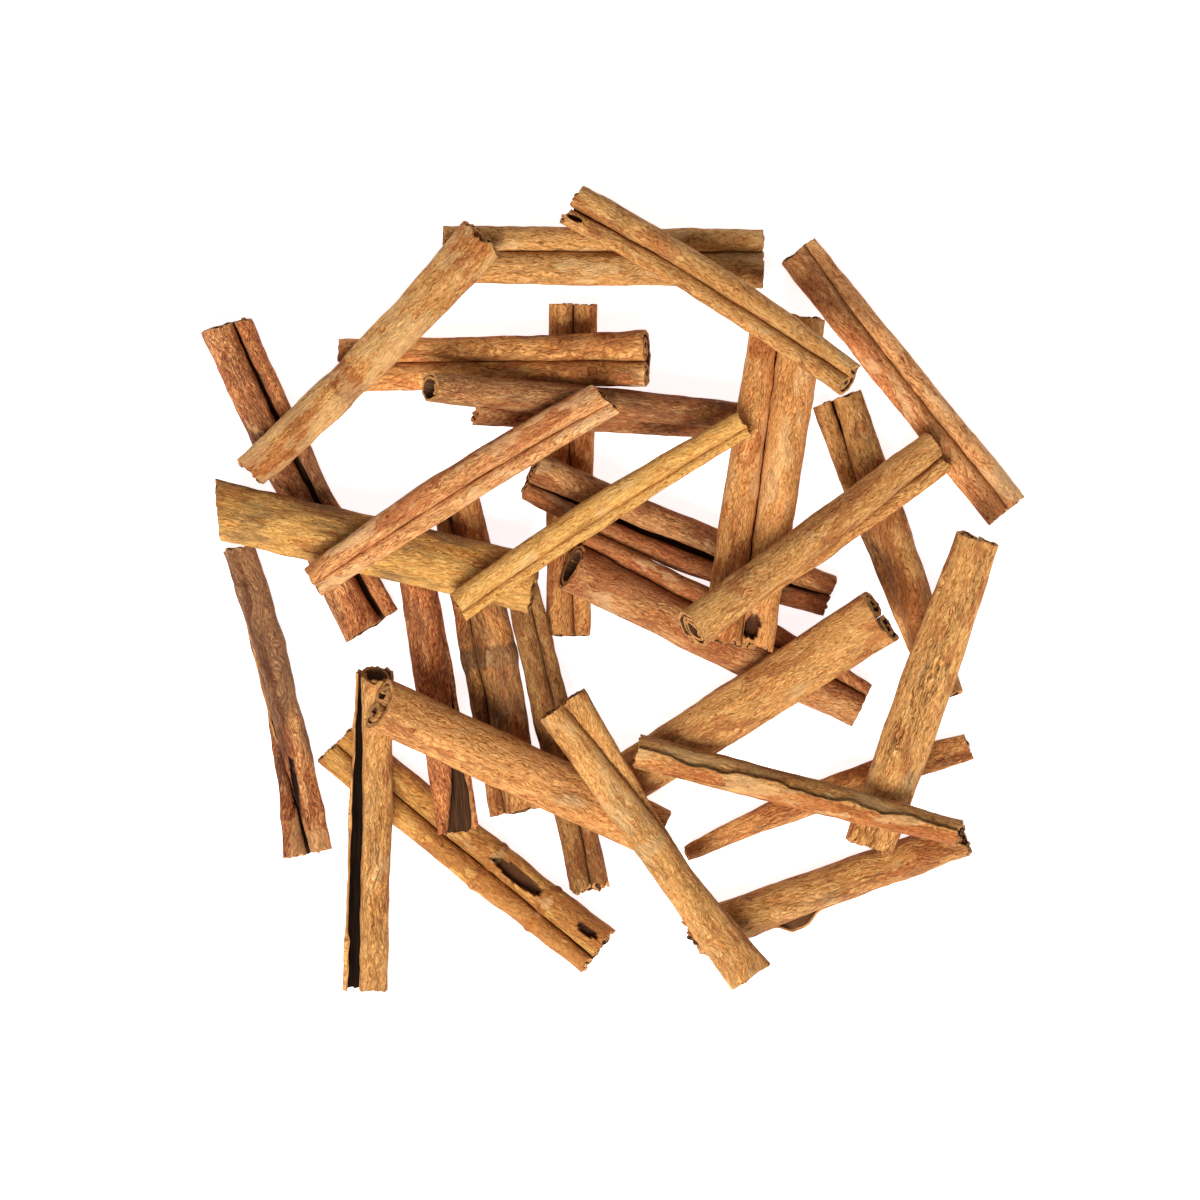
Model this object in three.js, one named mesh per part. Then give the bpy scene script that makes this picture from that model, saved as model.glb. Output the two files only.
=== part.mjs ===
// A loose stack of thirty cinnamon sticks, lying as they fell on a flat surface.
// Each stick is one sheet of bark that dried into a double curl: a rounded back that tightens into a roll
// along each edge, or, on a few, one single roll. Units are millimetres, +Z is up, the stack stands on Z = 0,
// and the origin is under the middle of it.
import * as THREE from 'three';

// Driving dimensions
const WALL = 1.1; // thickness of the bark
const PITCH = 1.55; // a roll tightens by this for each full turn, so that its turns stay apart
const CORE_RADIUS = 0.95; // no roll curls in tighter than this
const FULL_CURL = 1.2; // turns that each roll of a double curl makes, where it is wide enough
const SINGLE_CURL = 1.9; // turns that a single curl makes
const LEAST_BACK = 0.01; // a back is rounder than half the stick's width by at least this
const EASE = 1.5; // power by which widths ease from their middle value to those at the ends
const ROLL_FACES = 9; // faces along a roll's sheet
const BACK_FACES = 3; // faces across the back
const SPANS = 4; // faces along a stick
const MIDDLE_SAG = 0.25; // share of the pitch by which a roll is wider outside, and narrower at the groove
const START_SAG = 0.42; // share of the pitch by which a roll starts wider than its mean
const TEAR = 0.7; // how far the torn ends run in and out
const REST_GAP = 0.35; // air between a stick and what it lies on
const FLAT_DEPTH = 0.25; // depth of the small flat spot where a stick lies on the surface
const SETTLE_ROUNDS = 5; // tries at laying a stick down before its last lift
const LINE_ROUNDS = 60; // most steps taken to find the line that a stick rests on
const START_HEIGHT = 20; // height from which a stick is laid down
const CELL = 0.25; // spacing of the height map that the sticks are laid on
const MAP_REACH = 110; // the height map runs this far from the middle, each way
const DEG = Math.PI / 180;

const BARK = {
  tan: 0xc4925a,
  golden: 0xcf9d55,
  orange: 0xc2834a,
  olive: 0xac8650,
  rosy: 0xb67a50,
  umber: 0x94633f,
};

// The sticks, lowest first. from and to are the two ends in plan, and the heights come from laying each stick
// on those before it. left and right are the widths of the two rolls at the start, the middle and the end, as
// seen when looking from one end to the other, gap is the slit between them, and back is the back's radius as
// a multiple of half the width. turn is the way the slit faces at each end, in degrees: 0 is up, 90 is left
// and 180 is down. A stick with no right roll is one single curl, whose outer edge shows at turn. bow bends
// the middle to the left, and slant is how much further out the left side reaches than the right, at each end.
const STICKS = [
  { name: 'stick_01', bark: 'orange', from: [-8.7, 67.3], to: [-9.9, -10.9],
    left: [5.3, 5.5, 3.3], right: [5.6, 5.2, 6.7], gap: [0.2, 0.1, 0.1], back: 1.4, turn: [0, 0] },
  { name: 'stick_02', bark: 'olive', from: [-39.4, 78.8], to: [36.2, 77.6],
    left: [5.9, 5.6, 5.3], right: [7.4, 7.9, 8.7], gap: [0.1, 0.1, 0.1], back: 1.3, turn: [0, 0] },
  { name: 'stick_03', bark: 'umber', from: [-90.5, 62.7], to: [-55.8, -8.8],
    left: [4, 3.3, 3.4], right: [7.8, 7.3, 9.9], gap: [0.4, 1.4, 1.3], back: 1.5, turn: [0, 0],
    bow: -0.7, slant: [-2.2, -1.7] },
  { name: 'stick_04', bark: 'golden', from: [-64.3, -35.8], to: [-2.6, -84.8],
    left: [6.5, 7, 8.2], right: [6, 5.6, 4], gap: [0.1, 0.2, 0.5], back: 1.4, turn: [0, 0],
    bow: -0.5, slant: [-1.8, 0] },
  { name: 'stick_05', bark: 'olive', from: [53.2, 45.1], to: [78.6, -25.6],
    left: [6.8, 8, 7.5], right: [4.2, 4.2, 4], gap: [0.9, 0.1, 0.1], back: 1.1, turn: [-5, -80] },
  { name: 'stick_06', bark: 'rosy', from: [43.9, 79.7], to: [93.3, 18.4],
    left: [2.7, 4.5, 4.8], right: [7, 5.9, 6.1], gap: [0.1, 0.1, 0.2], back: 1.3, turn: [0, 0] },
  { name: 'stick_07', bark: 'orange', from: [17.6, -62], to: [84.5, -36.7],
    left: [2.1, 4, 2.9], right: [2.1, 3.8, 2.9], gap: [0.1, 0.1, 0.2], back: 1.2, turn: [60, 0],
    bow: 1.5 },
  { name: 'stick_08', bark: 'tan', from: [19.5, -81.8], to: [83.9, -58.3],
    left: [11.3, 9.8, 9], right: null, gap: [0, 0, 0], back: 1, turn: [215, 215],
    bow: 0.5, slant: [2.4, 0] },
  { name: 'stick_09', bark: 'umber', from: [-87.7, 10.1], to: [-70.9, -62.2],
    left: [5.6, 4.9, 4.7], right: [3.5, 2.8, 5.6], gap: [0, 0, 0.5], back: 1.3, turn: [20, 0], bow: 2 },
  { name: 'stick_10', bark: 'tan', from: [-21.4, 3.5], to: [-4.5, -71],
    left: [2.6, 3.3, 4.1], right: [4.9, 5.6, 5.1], gap: [0.1, 0.1, 0.2], back: 1.3, turn: [0, 0],
    bow: 0.3 },
  { name: 'stick_11', bark: 'orange', from: [-36.7, 23], to: [-22.2, -52.3],
    left: [7.3, 9.4, 8.5], right: [3.5, 3.5, 3.2], gap: [0.1, 0.1, 0.1], back: 1.3, turn: [0, 0],
    bow: 1 },
  { name: 'stick_12', bark: 'rosy', from: [-31.5, 41.8], to: [44.6, 37.6],
    left: [6.1, 6.1, 6.1], right: null, gap: [0, 0, 0], back: 1, turn: [60, 60] },
  { name: 'stick_13', bark: 'rosy', from: [-18.8, 27], to: [51.9, -1.5],
    left: [7.8, 6.3, 4.8], right: [4.2, 4.7, 4.7], gap: [0.1, 1.6, 0.2], back: 1.3, turn: [0, 0],
    bow: -1.5 },
  { name: 'stick_14', bark: 'rosy', from: [-9.3, 7.6], to: [59.5, -27.3],
    left: [3.5, 4.7, 2.8], right: [11.5, 10.3, 7.8], gap: [0.2, 0.2, 0.2], back: 1.2, turn: [0, 0],
    bow: 0.6 },
  { name: 'stick_15', bark: 'orange', from: [-63.7, 52.6], to: [9, 54.3],
    left: [5.4, 5.9, 7.3], right: [7, 6.1, 5.8], gap: [0.1, 0.1, 0.2], back: 1.3, turn: [0, 0] },
  { name: 'stick_16', bark: 'umber', from: [-46.2, 11.8], to: [-35.5, -56.9],
    left: [4.9, 4.7, 2.1], right: [4.9, 5.2, 2.1], gap: [0.1, 0.2, 4.9], back: 1.4, turn: [0, 0] },
  { name: 'stick_17', bark: 'tan', from: [-54.9, -18.6], to: [-57.5, -94],
    left: [8, 7, 6.6], right: [1.4, 1.4, 1.6], gap: [0.2, 2.1, 2.1], back: 1.25, turn: [0, 0] },
  { name: 'stick_18', bark: 'rosy', from: [-43.8, 47.9], to: [31, 41.1],
    left: [7, 7.5, 6.3], right: null, gap: [0, 0, 0], back: 1, turn: [150, 150] },
  { name: 'stick_19', bark: 'golden', from: [-92.2, 18.9], to: [-17.4, 1.3],
    left: [6.8, 6.8, 6.8], right: [6.8, 6.8, 6.8], gap: [0.1, 0.1, 0.1], back: 1.25, turn: [180, 180],
    slant: [4.6, 0] },
  { name: 'stick_20', bark: 'tan', from: [-1.9, -48.2], to: [63.4, -6],
    left: [5.6, 6.3, 6.7], right: [5.6, 6.3, 6.7], gap: [0.1, 0.1, 0.2], back: 1.2, turn: [180, 180] },
  { name: 'stick_21', bark: 'tan', from: [86.2, 12.3], to: [60.6, -60.4],
    left: [5.2, 6, 5.8], right: [5.2, 6, 5.8], gap: [0.1, 0.1, 0.1], back: 1.2, turn: [180, 180] },
  { name: 'stick_22', bark: 'orange', from: [-55, -26.1], to: [11.8, -57.3],
    left: [6.1, 6.1, 5.9], right: [6.1, 6.1, 5.9], gap: [0.1, 0.1, 0.1], back: 1.08, turn: [180, 180] },
  { name: 'stick_23', bark: 'orange', from: [42.1, 64.9], to: [29.6, -12.9],
    left: [10.8, 9.2, 7.3], right: [6.3, 7.8, 9.4], gap: [0.2, 0.2, 0.2], back: 1.5, turn: [0, 0] },
  { name: 'stick_24', bark: 'tan', from: [-29.3, 83.2], to: [-84.5, 27.4],
    left: [5.8, 4.9, 4.3], right: [5.8, 4.9, 4.3], gap: [0.1, 0.1, 0.1], back: 1.2, turn: [180, 180],
    bow: 1.3 },
  { name: 'stick_25', bark: 'tan', from: [-9.6, 90.9], to: [55.8, 49],
    left: [5.9, 5.6, 3.8], right: [4, 3.9, 4.6], gap: [0.5, 0.1, 0.1], back: 1.3, turn: [0, 0],
    bow: 1.6 },
  { name: 'stick_26', bark: 'tan', from: [19.6, -9.6], to: [76.8, 32.4],
    left: [9.2, 8.2, 6.6], right: [3.1, 3.1, 3.8], gap: [0.1, 0.1, 0.4], back: 1.2, turn: [-75, -8] },
  { name: 'stick_27', bark: 'tan', from: [6.1, -37.8], to: [81.8, -57.1],
    left: [8.2, 8, 6.3], right: null, gap: [0, 0, 0], back: 1, turn: [0, 0] },
  { name: 'stick_28', bark: 'rosy', from: [-69.8, 1.6], to: [-0.7, 45],
    left: [4, 6.1, 6.1], right: [3.1, 4.1, 2.9], gap: [0.1, 0.1, 0.1], back: 1.3, turn: [0, 0],
    bow: 1.4, slant: [0, -2.2] },
  { name: 'stick_29', bark: 'golden', from: [-35.7, -4.2], to: [31.7, 38.9],
    left: [5.2, 5.4, 4.3], right: [2.1, 2.3, 2.1], gap: [0.1, 0.1, 0.1], back: 1.3, turn: [0, 0],
    bow: 1.2 },
  { name: 'stick_30', bark: 'tan', from: [-11.4, -26.4], to: [33.4, -90.7],
    left: [6.2, 4.9, 5.9], right: [6.2, 4.7, 5.6], gap: [0.1, 0.1, 0.1], back: 1.15, turn: [0, 70],
    bow: -0.9 },
];

const mix = (pair, share) => pair[0] + (pair[1] - pair[0]) * share;

// The value at one share of the way along, from those at the start, the middle and the end.
function through([start, middle, end], share) {
  const early = Math.max(0, 1 - 2 * share) ** EASE;
  const late = Math.max(0, 2 * share - 1) ** EASE;
  return start * early + middle * (1 - early - late) + end * late;
}

// A number from -1 to 1 that is always the same for the same two whole numbers.
function scatter(a, b) {
  const wave = Math.sin(a * 127.1 + b * 311.7) * 43758.5453;
  return 2 * (wave - Math.floor(wave)) - 1;
}

// The corners of one roll, from its innermost edge out to the back. side is 1 for the left roll and -1 for the
// right one.
function rollCorners(middle, radius, start, side) {
  const turns = Math.min(FULL_CURL, (radius + START_SAG * PITCH - CORE_RADIUS) / PITCH);
  const cornerOut = 1 / Math.sqrt(Math.cos((turns * Math.PI) / ROLL_FACES));
  const corners = [];
  for (let i = ROLL_FACES; i >= 0; i--) {
    const swept = (turns * i) / ROLL_FACES;
    const reach = (radius + (START_SAG - swept) * PITCH) * cornerOut;
    const angle = start + swept * 2 * Math.PI;
    const out = new THREE.Vector2(side * Math.cos(angle), Math.sin(angle));
    corners.push({ at: out.clone().multiplyScalar(reach).add(middle), out });
  }
  return corners;
}

// The middle line of a double curl, left roll, back and right roll, and the centre of its outline.
function doubleCurl(stick, share) {
  const [left, right] = [stick.left, stick.right].map((roll) => (through(roll, share) - WALL) / 2);
  const apart = left + right + WALL + through(stick.gap, share) - 2 * MIDDLE_SAG * PITCH;
  const leftOut = left + START_SAG * PITCH;
  const rightOut = right + START_SAG * PITCH;
  const half = (apart + leftOut + rightOut) / 2;
  const back = Math.max(stick.back * half, half + LEAST_BACK);
  const [toLeft, toRight] = [back - leftOut, back - rightOut];
  const along = (toRight ** 2 - toLeft ** 2 + apart ** 2) / (2 * apart);
  const rightAt = new THREE.Vector2(-apart / 2, 0);
  const leftAt = new THREE.Vector2(apart / 2, 0);
  const backAt = new THREE.Vector2(rightAt.x + along, Math.sqrt(toRight ** 2 - along ** 2));
  const leftStart = Math.atan2(leftAt.y - backAt.y, leftAt.x - backAt.x);
  const rightStart = Math.atan2(rightAt.y - backAt.y, backAt.x - rightAt.x);
  const line = rollCorners(leftAt, left, leftStart, 1);
  for (let i = 1; i < BACK_FACES; i++) {
    const angle = mix([leftStart, -Math.PI - rightStart], i / BACK_FACES);
    const out = new THREE.Vector2(Math.cos(angle), Math.sin(angle));
    line.push({ at: out.clone().multiplyScalar(back).add(backAt), out });
  }
  line.push(...rollCorners(rightAt, right, rightStart, -1).reverse());
  const top = Math.max(leftOut, rightOut);
  return { line, centre: new THREE.Vector2((leftOut - rightOut) / 2, (top + backAt.y - back) / 2) };
}

// The middle line of a single curl, from its innermost edge to its outer one, which ends at the top, and the
// centre of its outline.
function singleCurl(stick, share) {
  const radius = (through(stick.left, share) - WALL) / 2;
  const faces = 2 * ROLL_FACES + BACK_FACES;
  const turns = Math.min(SINGLE_CURL, (radius + START_SAG * PITCH - CORE_RADIUS) / PITCH);
  const cornerOut = 1 / Math.sqrt(Math.cos((turns * Math.PI) / faces));
  const line = [];
  for (let i = faces; i >= 0; i--) {
    const swept = (turns * i) / faces;
    const reach = (radius + (START_SAG - swept) * PITCH) * cornerOut;
    const angle = Math.PI / 2 + swept * 2 * Math.PI;
    const out = new THREE.Vector2(Math.cos(angle), Math.sin(angle));
    line.push({ at: out.clone().multiplyScalar(reach), out });
  }
  return { line, centre: new THREE.Vector2(-PITCH / 4, PITCH / 4) };
}

// The two faces of the sheet at one place along a stick: pairs of corners, outside and inside, turned about the
// centre of the outline.
function sectionAt(stick, share) {
  const { line, centre } = stick.right ? doubleCurl(stick, share) : singleCurl(stick, share);
  const turn = mix(stick.turn, share) * DEG;
  return line.map(({ at, out }) =>
    [WALL / 2, -WALL / 2].map((step) =>
      out.clone().multiplyScalar(step).add(at).rotateAround(centre, -turn).sub(centre)));
}

// How much further along the stick its left side is than its right side, which only the ends are.
function endSlope(stick, j) {
  if (!stick.slant || (j > 0 && j < SPANS)) return 0;
  return j === 0 ? -stick.slant[0] : stick.slant[1];
}

// One stick as a closed mesh about its own middle: x along it, y to the left and z up.
function stickGeometry(stick, index) {
  const length = Math.hypot(stick.to[0] - stick.from[0], stick.to[1] - stick.from[1]);
  const places = [];
  let pairs = 0;
  for (let j = 0; j <= SPANS; j++) {
    const share = j / SPANS;
    const section = sectionAt(stick, share);
    const bend = (stick.bow ?? 0) * 4 * share * (1 - share);
    const halfWidth = Math.max(...section.map(([outer]) => outer.x));
    const slope = endSlope(stick, j) / (2 * halfWidth);
    pairs = section.length;
    section.forEach((pair, i) => {
      const torn = j === 0 || j === SPANS ? TEAR * scatter(i, index * 2 + j) : 0;
      pair.forEach((corner) => {
        places.push((share - 0.5) * length + torn + slope * corner.x, corner.x + bend, corner.y);
      });
    });
  }
  const id = (j, i, side) => (j * pairs + i) * 2 + side;
  const faces = [];
  const quad = (a, b, c, d) => faces.push(a, b, c, a, c, d);
  for (let j = 0; j < SPANS; j++) {
    for (let i = 0; i < pairs - 1; i++) {
      quad(id(j, i, 0), id(j + 1, i, 0), id(j + 1, i + 1, 0), id(j, i + 1, 0));
      quad(id(j, i, 1), id(j, i + 1, 1), id(j + 1, i + 1, 1), id(j + 1, i, 1));
    }
    quad(id(j, 0, 1), id(j + 1, 0, 1), id(j + 1, 0, 0), id(j, 0, 0));
    quad(id(j, pairs - 1, 0), id(j + 1, pairs - 1, 0), id(j + 1, pairs - 1, 1), id(j, pairs - 1, 1));
  }
  for (let i = 0; i < pairs - 1; i++) {
    quad(id(0, i, 0), id(0, i + 1, 0), id(0, i + 1, 1), id(0, i, 1));
    quad(id(SPANS, i, 1), id(SPANS, i + 1, 1), id(SPANS, i + 1, 0), id(SPANS, i, 0));
  }
  const geometry = new THREE.BufferGeometry();
  geometry.setAttribute('position', new THREE.Float32BufferAttribute(places, 3));
  geometry.setIndex(faces);
  return { geometry, length };
}

// Calls visit(cell, height) for each cell of the map that a mesh's triangles cover.
function overCells(mesh, visit) {
  mesh.updateMatrixWorld(true);
  const at = mesh.geometry.getAttribute('position');
  const corners = [];
  for (let i = 0; i < at.count; i++) {
    corners.push(new THREE.Vector3().fromBufferAttribute(at, i).applyMatrix4(mesh.matrixWorld));
  }
  const index = mesh.geometry.index.array;
  for (let f = 0; f < index.length; f += 3) {
    const [a, b, c] = [corners[index[f]], corners[index[f + 1]], corners[index[f + 2]]];
    const area = (b.x - a.x) * (c.y - a.y) - (b.y - a.y) * (c.x - a.x);
    if (Math.abs(area) < 1e-6) continue;
    const low = new THREE.Vector3().copy(a).min(b).min(c);
    const high = new THREE.Vector3().copy(a).max(b).max(c);
    for (let i = Math.ceil(low.x / CELL); i * CELL <= high.x; i++) {
      for (let j = Math.ceil(low.y / CELL); j * CELL <= high.y; j++) {
        const [x, y] = [i * CELL, j * CELL];
        const toB = ((x - a.x) * (c.y - a.y) - (y - a.y) * (c.x - a.x)) / area;
        const toC = ((b.x - a.x) * (y - a.y) - (b.y - a.y) * (x - a.x)) / area;
        if (toB < 0 || toC < 0 || toB + toC > 1) continue;
        visit(cellOf(i, j), a.z + toB * (b.z - a.z) + toC * (c.z - a.z), x, y);
      }
    }
  }
}

const MAP_SIDE = Math.round((2 * MAP_REACH) / CELL) + 1;
const cellOf = (i, j) => (i + MAP_REACH / CELL) * MAP_SIDE + j + MAP_REACH / CELL;
const stackTop = new Float32Array(MAP_SIDE * MAP_SIDE);

// How far the mesh has to rise at each place along it to clear what lies under it.
function risesNeeded(mesh, stick, length) {
  const way = [(stick.to[0] - stick.from[0]) / length, (stick.to[1] - stick.from[1]) / length];
  const under = new Map();
  overCells(mesh, (cell, height, x, y) => {
    const known = under.get(cell);
    if (!known || height < known.height) {
      under.set(cell, { height, along: (x - stick.from[0]) * way[0] + (y - stick.from[1]) * way[1] });
    }
  });
  return [...under].map(([cell, { height, along }]) => {
    const top = stackTop[cell];
    return { along, rise: top - height + (top > 0 ? REST_GAP : -FLAT_DEPTH) };
  });
}

// The lowest straight line over all the rises, where it passes the middle of the stick: the two places that
// carry the stick are on it, one on each side of the middle.
function restingLine(needs, length) {
  const middle = length / 2;
  const before = needs.filter((need) => need.along <= middle);
  const after = needs.filter((need) => need.along > middle);
  let slope = 0;
  let at = 0;
  for (let round = 0; round < LINE_ROUNDS; round++) {
    const above = (need) => need.rise - slope * (need.along - middle);
    const highest = (best, need) => (above(need) > above(best) ? need : best);
    const back = before.reduce(highest);
    const front = after.reduce(highest);
    const next = (front.rise - back.rise) / (front.along - back.along);
    at = front.rise - next * (front.along - middle);
    if (next === slope) break;
    slope = next;
  }
  return [at - slope * middle, at + slope * middle];
}

// Places a stick's mesh with its two ends at these heights. Its ends are given in plan, so a stick that slopes
// is longer than it looks from above.
function pose(mesh, stick, length, heights) {
  const yaw = Math.atan2(stick.to[1] - stick.from[1], stick.to[0] - stick.from[0]);
  const pitch = Math.atan2(heights[1] - heights[0], length);
  mesh.position.set((stick.from[0] + stick.to[0]) / 2, (stick.from[1] + stick.to[1]) / 2, mix(heights, 0.5));
  mesh.rotation.set(0, -pitch, yaw, 'ZYX');
  mesh.scale.x = 1 / Math.cos(pitch);
}

// Lays a stick on those already there, then adds it to the height map.
function layDown(mesh, stick, length) {
  const heights = [START_HEIGHT, START_HEIGHT];
  for (let round = 0; round < SETTLE_ROUNDS; round++) {
    pose(mesh, stick, length, heights);
    const line = restingLine(risesNeeded(mesh, stick, length), length);
    heights[0] += line[0];
    heights[1] += line[1];
  }
  pose(mesh, stick, length, heights);
  const left = Math.max(...risesNeeded(mesh, stick, length).map((n) => n.rise));
  mesh.position.z += left;
  overCells(mesh, (cell, height) => {
    stackTop[cell] = Math.max(stackTop[cell], height);
  });
}

// Lifts what reaches below the surface up to it, which leaves a stick on the surface a small flat spot.
function flattenUnder(mesh) {
  mesh.updateMatrixWorld(true);
  const back = mesh.matrixWorld.clone().invert();
  const at = mesh.geometry.getAttribute('position');
  const corner = new THREE.Vector3();
  for (let i = 0; i < at.count; i++) {
    corner.fromBufferAttribute(at, i).applyMatrix4(mesh.matrixWorld);
    if (corner.z < 0) {
      corner.setZ(0).applyMatrix4(back);
      at.setXYZ(i, corner.x, corner.y, corner.z);
    }
  }
}

const stack = new THREE.Group();
STICKS.forEach((stick, index) => {
  const { geometry, length } = stickGeometry(stick, index);
  const material = new THREE.MeshStandardMaterial({ color: BARK[stick.bark], roughness: 0.82, metalness: 0 });
  const mesh = new THREE.Mesh(geometry, material);
  mesh.name = stick.name;
  layDown(mesh, stick, length);
  flattenUnder(mesh);
  stack.add(mesh);
});

// The origin goes under the middle of the stack's box.
const middle = new THREE.Box3().setFromObject(stack, true).getCenter(new THREE.Vector3());
stack.position.set(-middle.x, -middle.y, 0);

export default stack;
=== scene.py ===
import math

import bpy
import numpy as np
from mathutils import Matrix


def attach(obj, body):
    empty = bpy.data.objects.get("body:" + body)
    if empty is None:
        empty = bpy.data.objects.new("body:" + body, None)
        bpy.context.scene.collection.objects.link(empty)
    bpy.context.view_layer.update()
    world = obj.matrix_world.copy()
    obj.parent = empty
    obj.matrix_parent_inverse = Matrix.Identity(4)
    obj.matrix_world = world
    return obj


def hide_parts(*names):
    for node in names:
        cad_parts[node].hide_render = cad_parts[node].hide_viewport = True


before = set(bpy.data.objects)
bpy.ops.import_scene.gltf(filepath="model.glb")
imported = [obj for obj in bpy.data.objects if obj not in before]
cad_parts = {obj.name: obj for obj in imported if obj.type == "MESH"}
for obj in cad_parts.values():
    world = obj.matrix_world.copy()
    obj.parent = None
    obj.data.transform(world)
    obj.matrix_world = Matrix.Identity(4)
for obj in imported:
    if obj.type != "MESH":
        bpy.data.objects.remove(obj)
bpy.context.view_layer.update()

# A loose stack of thirty cinnamon sticks: cassia bark that curled up as it dried, cut to length.
# One Geometry Nodes tree makes every stick as a single closed sheet of bark, rolled up from both of its long
# edges or, on a few, from one. The sheet follows the same law as the solids, and each stick is laid where
# its solid lies. Sizes are in millimetres until a mesh is placed.

MM = 0.001

# The bark and its curl, as in the solids.
WALL = 1.1  # thickness of the bark of a solid
PITCH = 1.55  # a roll tightens by this for each full turn, where the bark is that thick
MIDDLE_SAG = 0.25  # share of the pitch by which a roll is narrower at the groove
START_SAG = 0.42  # share of the pitch by which a roll starts wider than its mean
LEAST_BACK = 0.01  # a back is rounder than half the stick's width by at least this
EASE = 1.5  # power by which widths ease from their middle value to those at the ends
SLANT_SHARE = 0.25  # share of a stick's length over which a slanted end builds up

# The grid that a sheet is made from, in faces.
OUTER_TURNS = 0.8  # share of a turn that gets the fine faces, because it shows
OUTER_FACES = 34
INNER_FACES = 18
BACK_FACES = 16
EDGE_FACES = 4  # round each long edge
LENGTH_FACES = 112
SINGLE_EASE = 1.3  # power by which the faces of a single curl crowd towards its outer edge
FACE_LAYER = 0.9  # beyond this the layer is one of the two faces, and below it a cut edge
SHARP_TURN = 0.9  # an edge that turns by more than this, in radians, is sharp
SAME_PLACE = 0.0005  # points closer than this are one

# Unevenness of dried bark.
CORE_SPACE = 0.1  # a roll curls in until this much is left inside it
WOBBLE = 0.75  # how far a roll's radius wanders along the stick
LUMPS = 0.55  # how far the whole sheet swells and sinks
RIDGES = 0.25  # height of the low ridges that run along the outside
LOOSE_TURNS = 0.2  # share of a turn that moves along with the torn outer edge of a single curl
PEEL_WANDER = 2.5  # how much the height of a peel varies along the stick
RAGGED = 0.8  # how far the edges of holes and of a ring's marks wander, as a share of their size

# Ends.
HALF_WAY = (0.499, 0.501)  # share of the length over which the value for one end gives way to the other's
TEAR_REACH = 5.0  # the torn shape of an end fades out over this
TEAR_GAIN = 4  # the noise of a tear is this much deeper than the stick's own measure
FINE_TEAR = 0.2  # how deep the fine tears are beside the broad ones
ENDS_APART = 9  # how far apart in the noise the tears of the two ends are
LEAN_REACH = 14.0  # an end that leans fades out over this
LIT_SHARE = 0.08  # share of the length over which the inner face's painted light at the start fades to its painted value further in
END_REACH = 6.0  # the corners of a solid's end rows are within this of its ends

# Bands across a stick, holes, and what differs from side to side.
BAND_SLOPE = (0.3, 1.2)  # a band falls off between these, in half widths
BAND_MARKS = (0.6, 1.1)  # its marks fade out between these
HOLE_EDGE = (0.85, 1.05)  # the edge of a hole, as a share of its size
HOLE_TOP = (0.4, 1.8)  # a hole grows to its full depth between these heights over the stick's middle
HOLE_RED, HOLE_STAIN_AND_SHADE = 1, 2  # red marks in a hole, and dark stain there that is partly painted shade, beyond the stick's own
SIDE_BLEND = 0.15  # share of half the width over which the marks and the painted shade of the two sides blend

# Noises of the shape: length along the stick, width across the sheet and detail.
WOBBLE_NOISE = (12, 1, 2)
SEAM_NOISE = (16, 1, 8)
LUMP_NOISE = (7, 4, 2)
RIDGE_NOISE = (9, 1.4, 3)
RAGGED_NOISE = (3, 2, 2)
TEAR_NOISES = [(1, 3.5, 2), (1, 0.8, 2)]  # broad and fine

# Noises of the bark's patterns, written in the same way. Real fibres are a few hundredths wide, which is too
# fine to show, so the grain is as coarse as it needs to be seen.
SWAY_NOISE = (9, 3.5, 2)
CRINKLE_NOISE = (1.8, 1.2, 1)
GRAIN_NOISE = (1.1, 0.21, 3)
STREAK_NOISE = (5, 0.6, 4)
CLOUD_NOISE = (16, 5, 4)
PATCH_NOISE = (17, 5.5, 7)
SPECK_NOISE = (1.1, 0.9, 1)
DASH_NOISE = (5, 0.7, 2)
CRACK_NOISE = (17, 1.2, 3)
INSIDE_NOISE = (9, 0.5, 4)
CUT_NOISE = (3, 3, 4)
NOISE_ROUGHNESS = 0.6  # share of its strength that each finer detail of a noise keeps
SEED_STEP = 7.3  # how far apart one stick and the next are in every noise

# How the patterns are put together.
SWAY = (1.0, 4.5)  # how far the fibres sway sideways on straight bark, and how much further where it swirls
CRINKLE = 0.9  # how far they crinkle
BODY_SHARES = (0.58, 0.26, 0.16)  # of the grain, the streaks and the clouds in the colour
BODY_STOPS = (0.39, 0.48, 0.59)  # where along their sum the bark is dark, mid and light
LINE_WIDTHS = (0.04, 0.018)  # of the dashes and the cracks, as shares of their noise
LINE_BREAKS = (0.44, 0.54)  # a line fades in as the noise that breaks it rises through these
DASHES = (0.4, 0.1)  # strength of the dashes where there are no cracks, and how much stronger where there are
MARK_LEVELS = (0.68, -0.5)  # a mark shows where its noise is above the first plus the second times its amount
SPECK_LEVELS = (0.72, 0.77)  # specks show where their noise rises through these
MARK_DEPTHS = (0.75, 0.6, 0.55)  # how much of the light the dashes, the cracks and the specks take away
GRAIN_LEVELS = (0.35, 0.65)  # the least and the most of the grain
BARK_ROUGHNESS = (0.75, 0.95)  # roughness of the outer face there
BARK_SHEEN = 0.25  # bark shines this much, where 0.5 is what its index of refraction gives
PLAIN_SHEEN = 0.1  # and its inner face and cut edges this much
BUMP_SHARES = (0.5, 0.6, -0.25, -0.25)  # of the grain, the streaks, the dashes and the cracks in the relief
BARK_RELIEF = 0.9  # depth of that relief
PLAIN_RELIEF = 0.2  # depth of the relief of the inner face and of cut edges
LAYERS = 3.0  # half the number of thin layers that a cut edge shows

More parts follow.
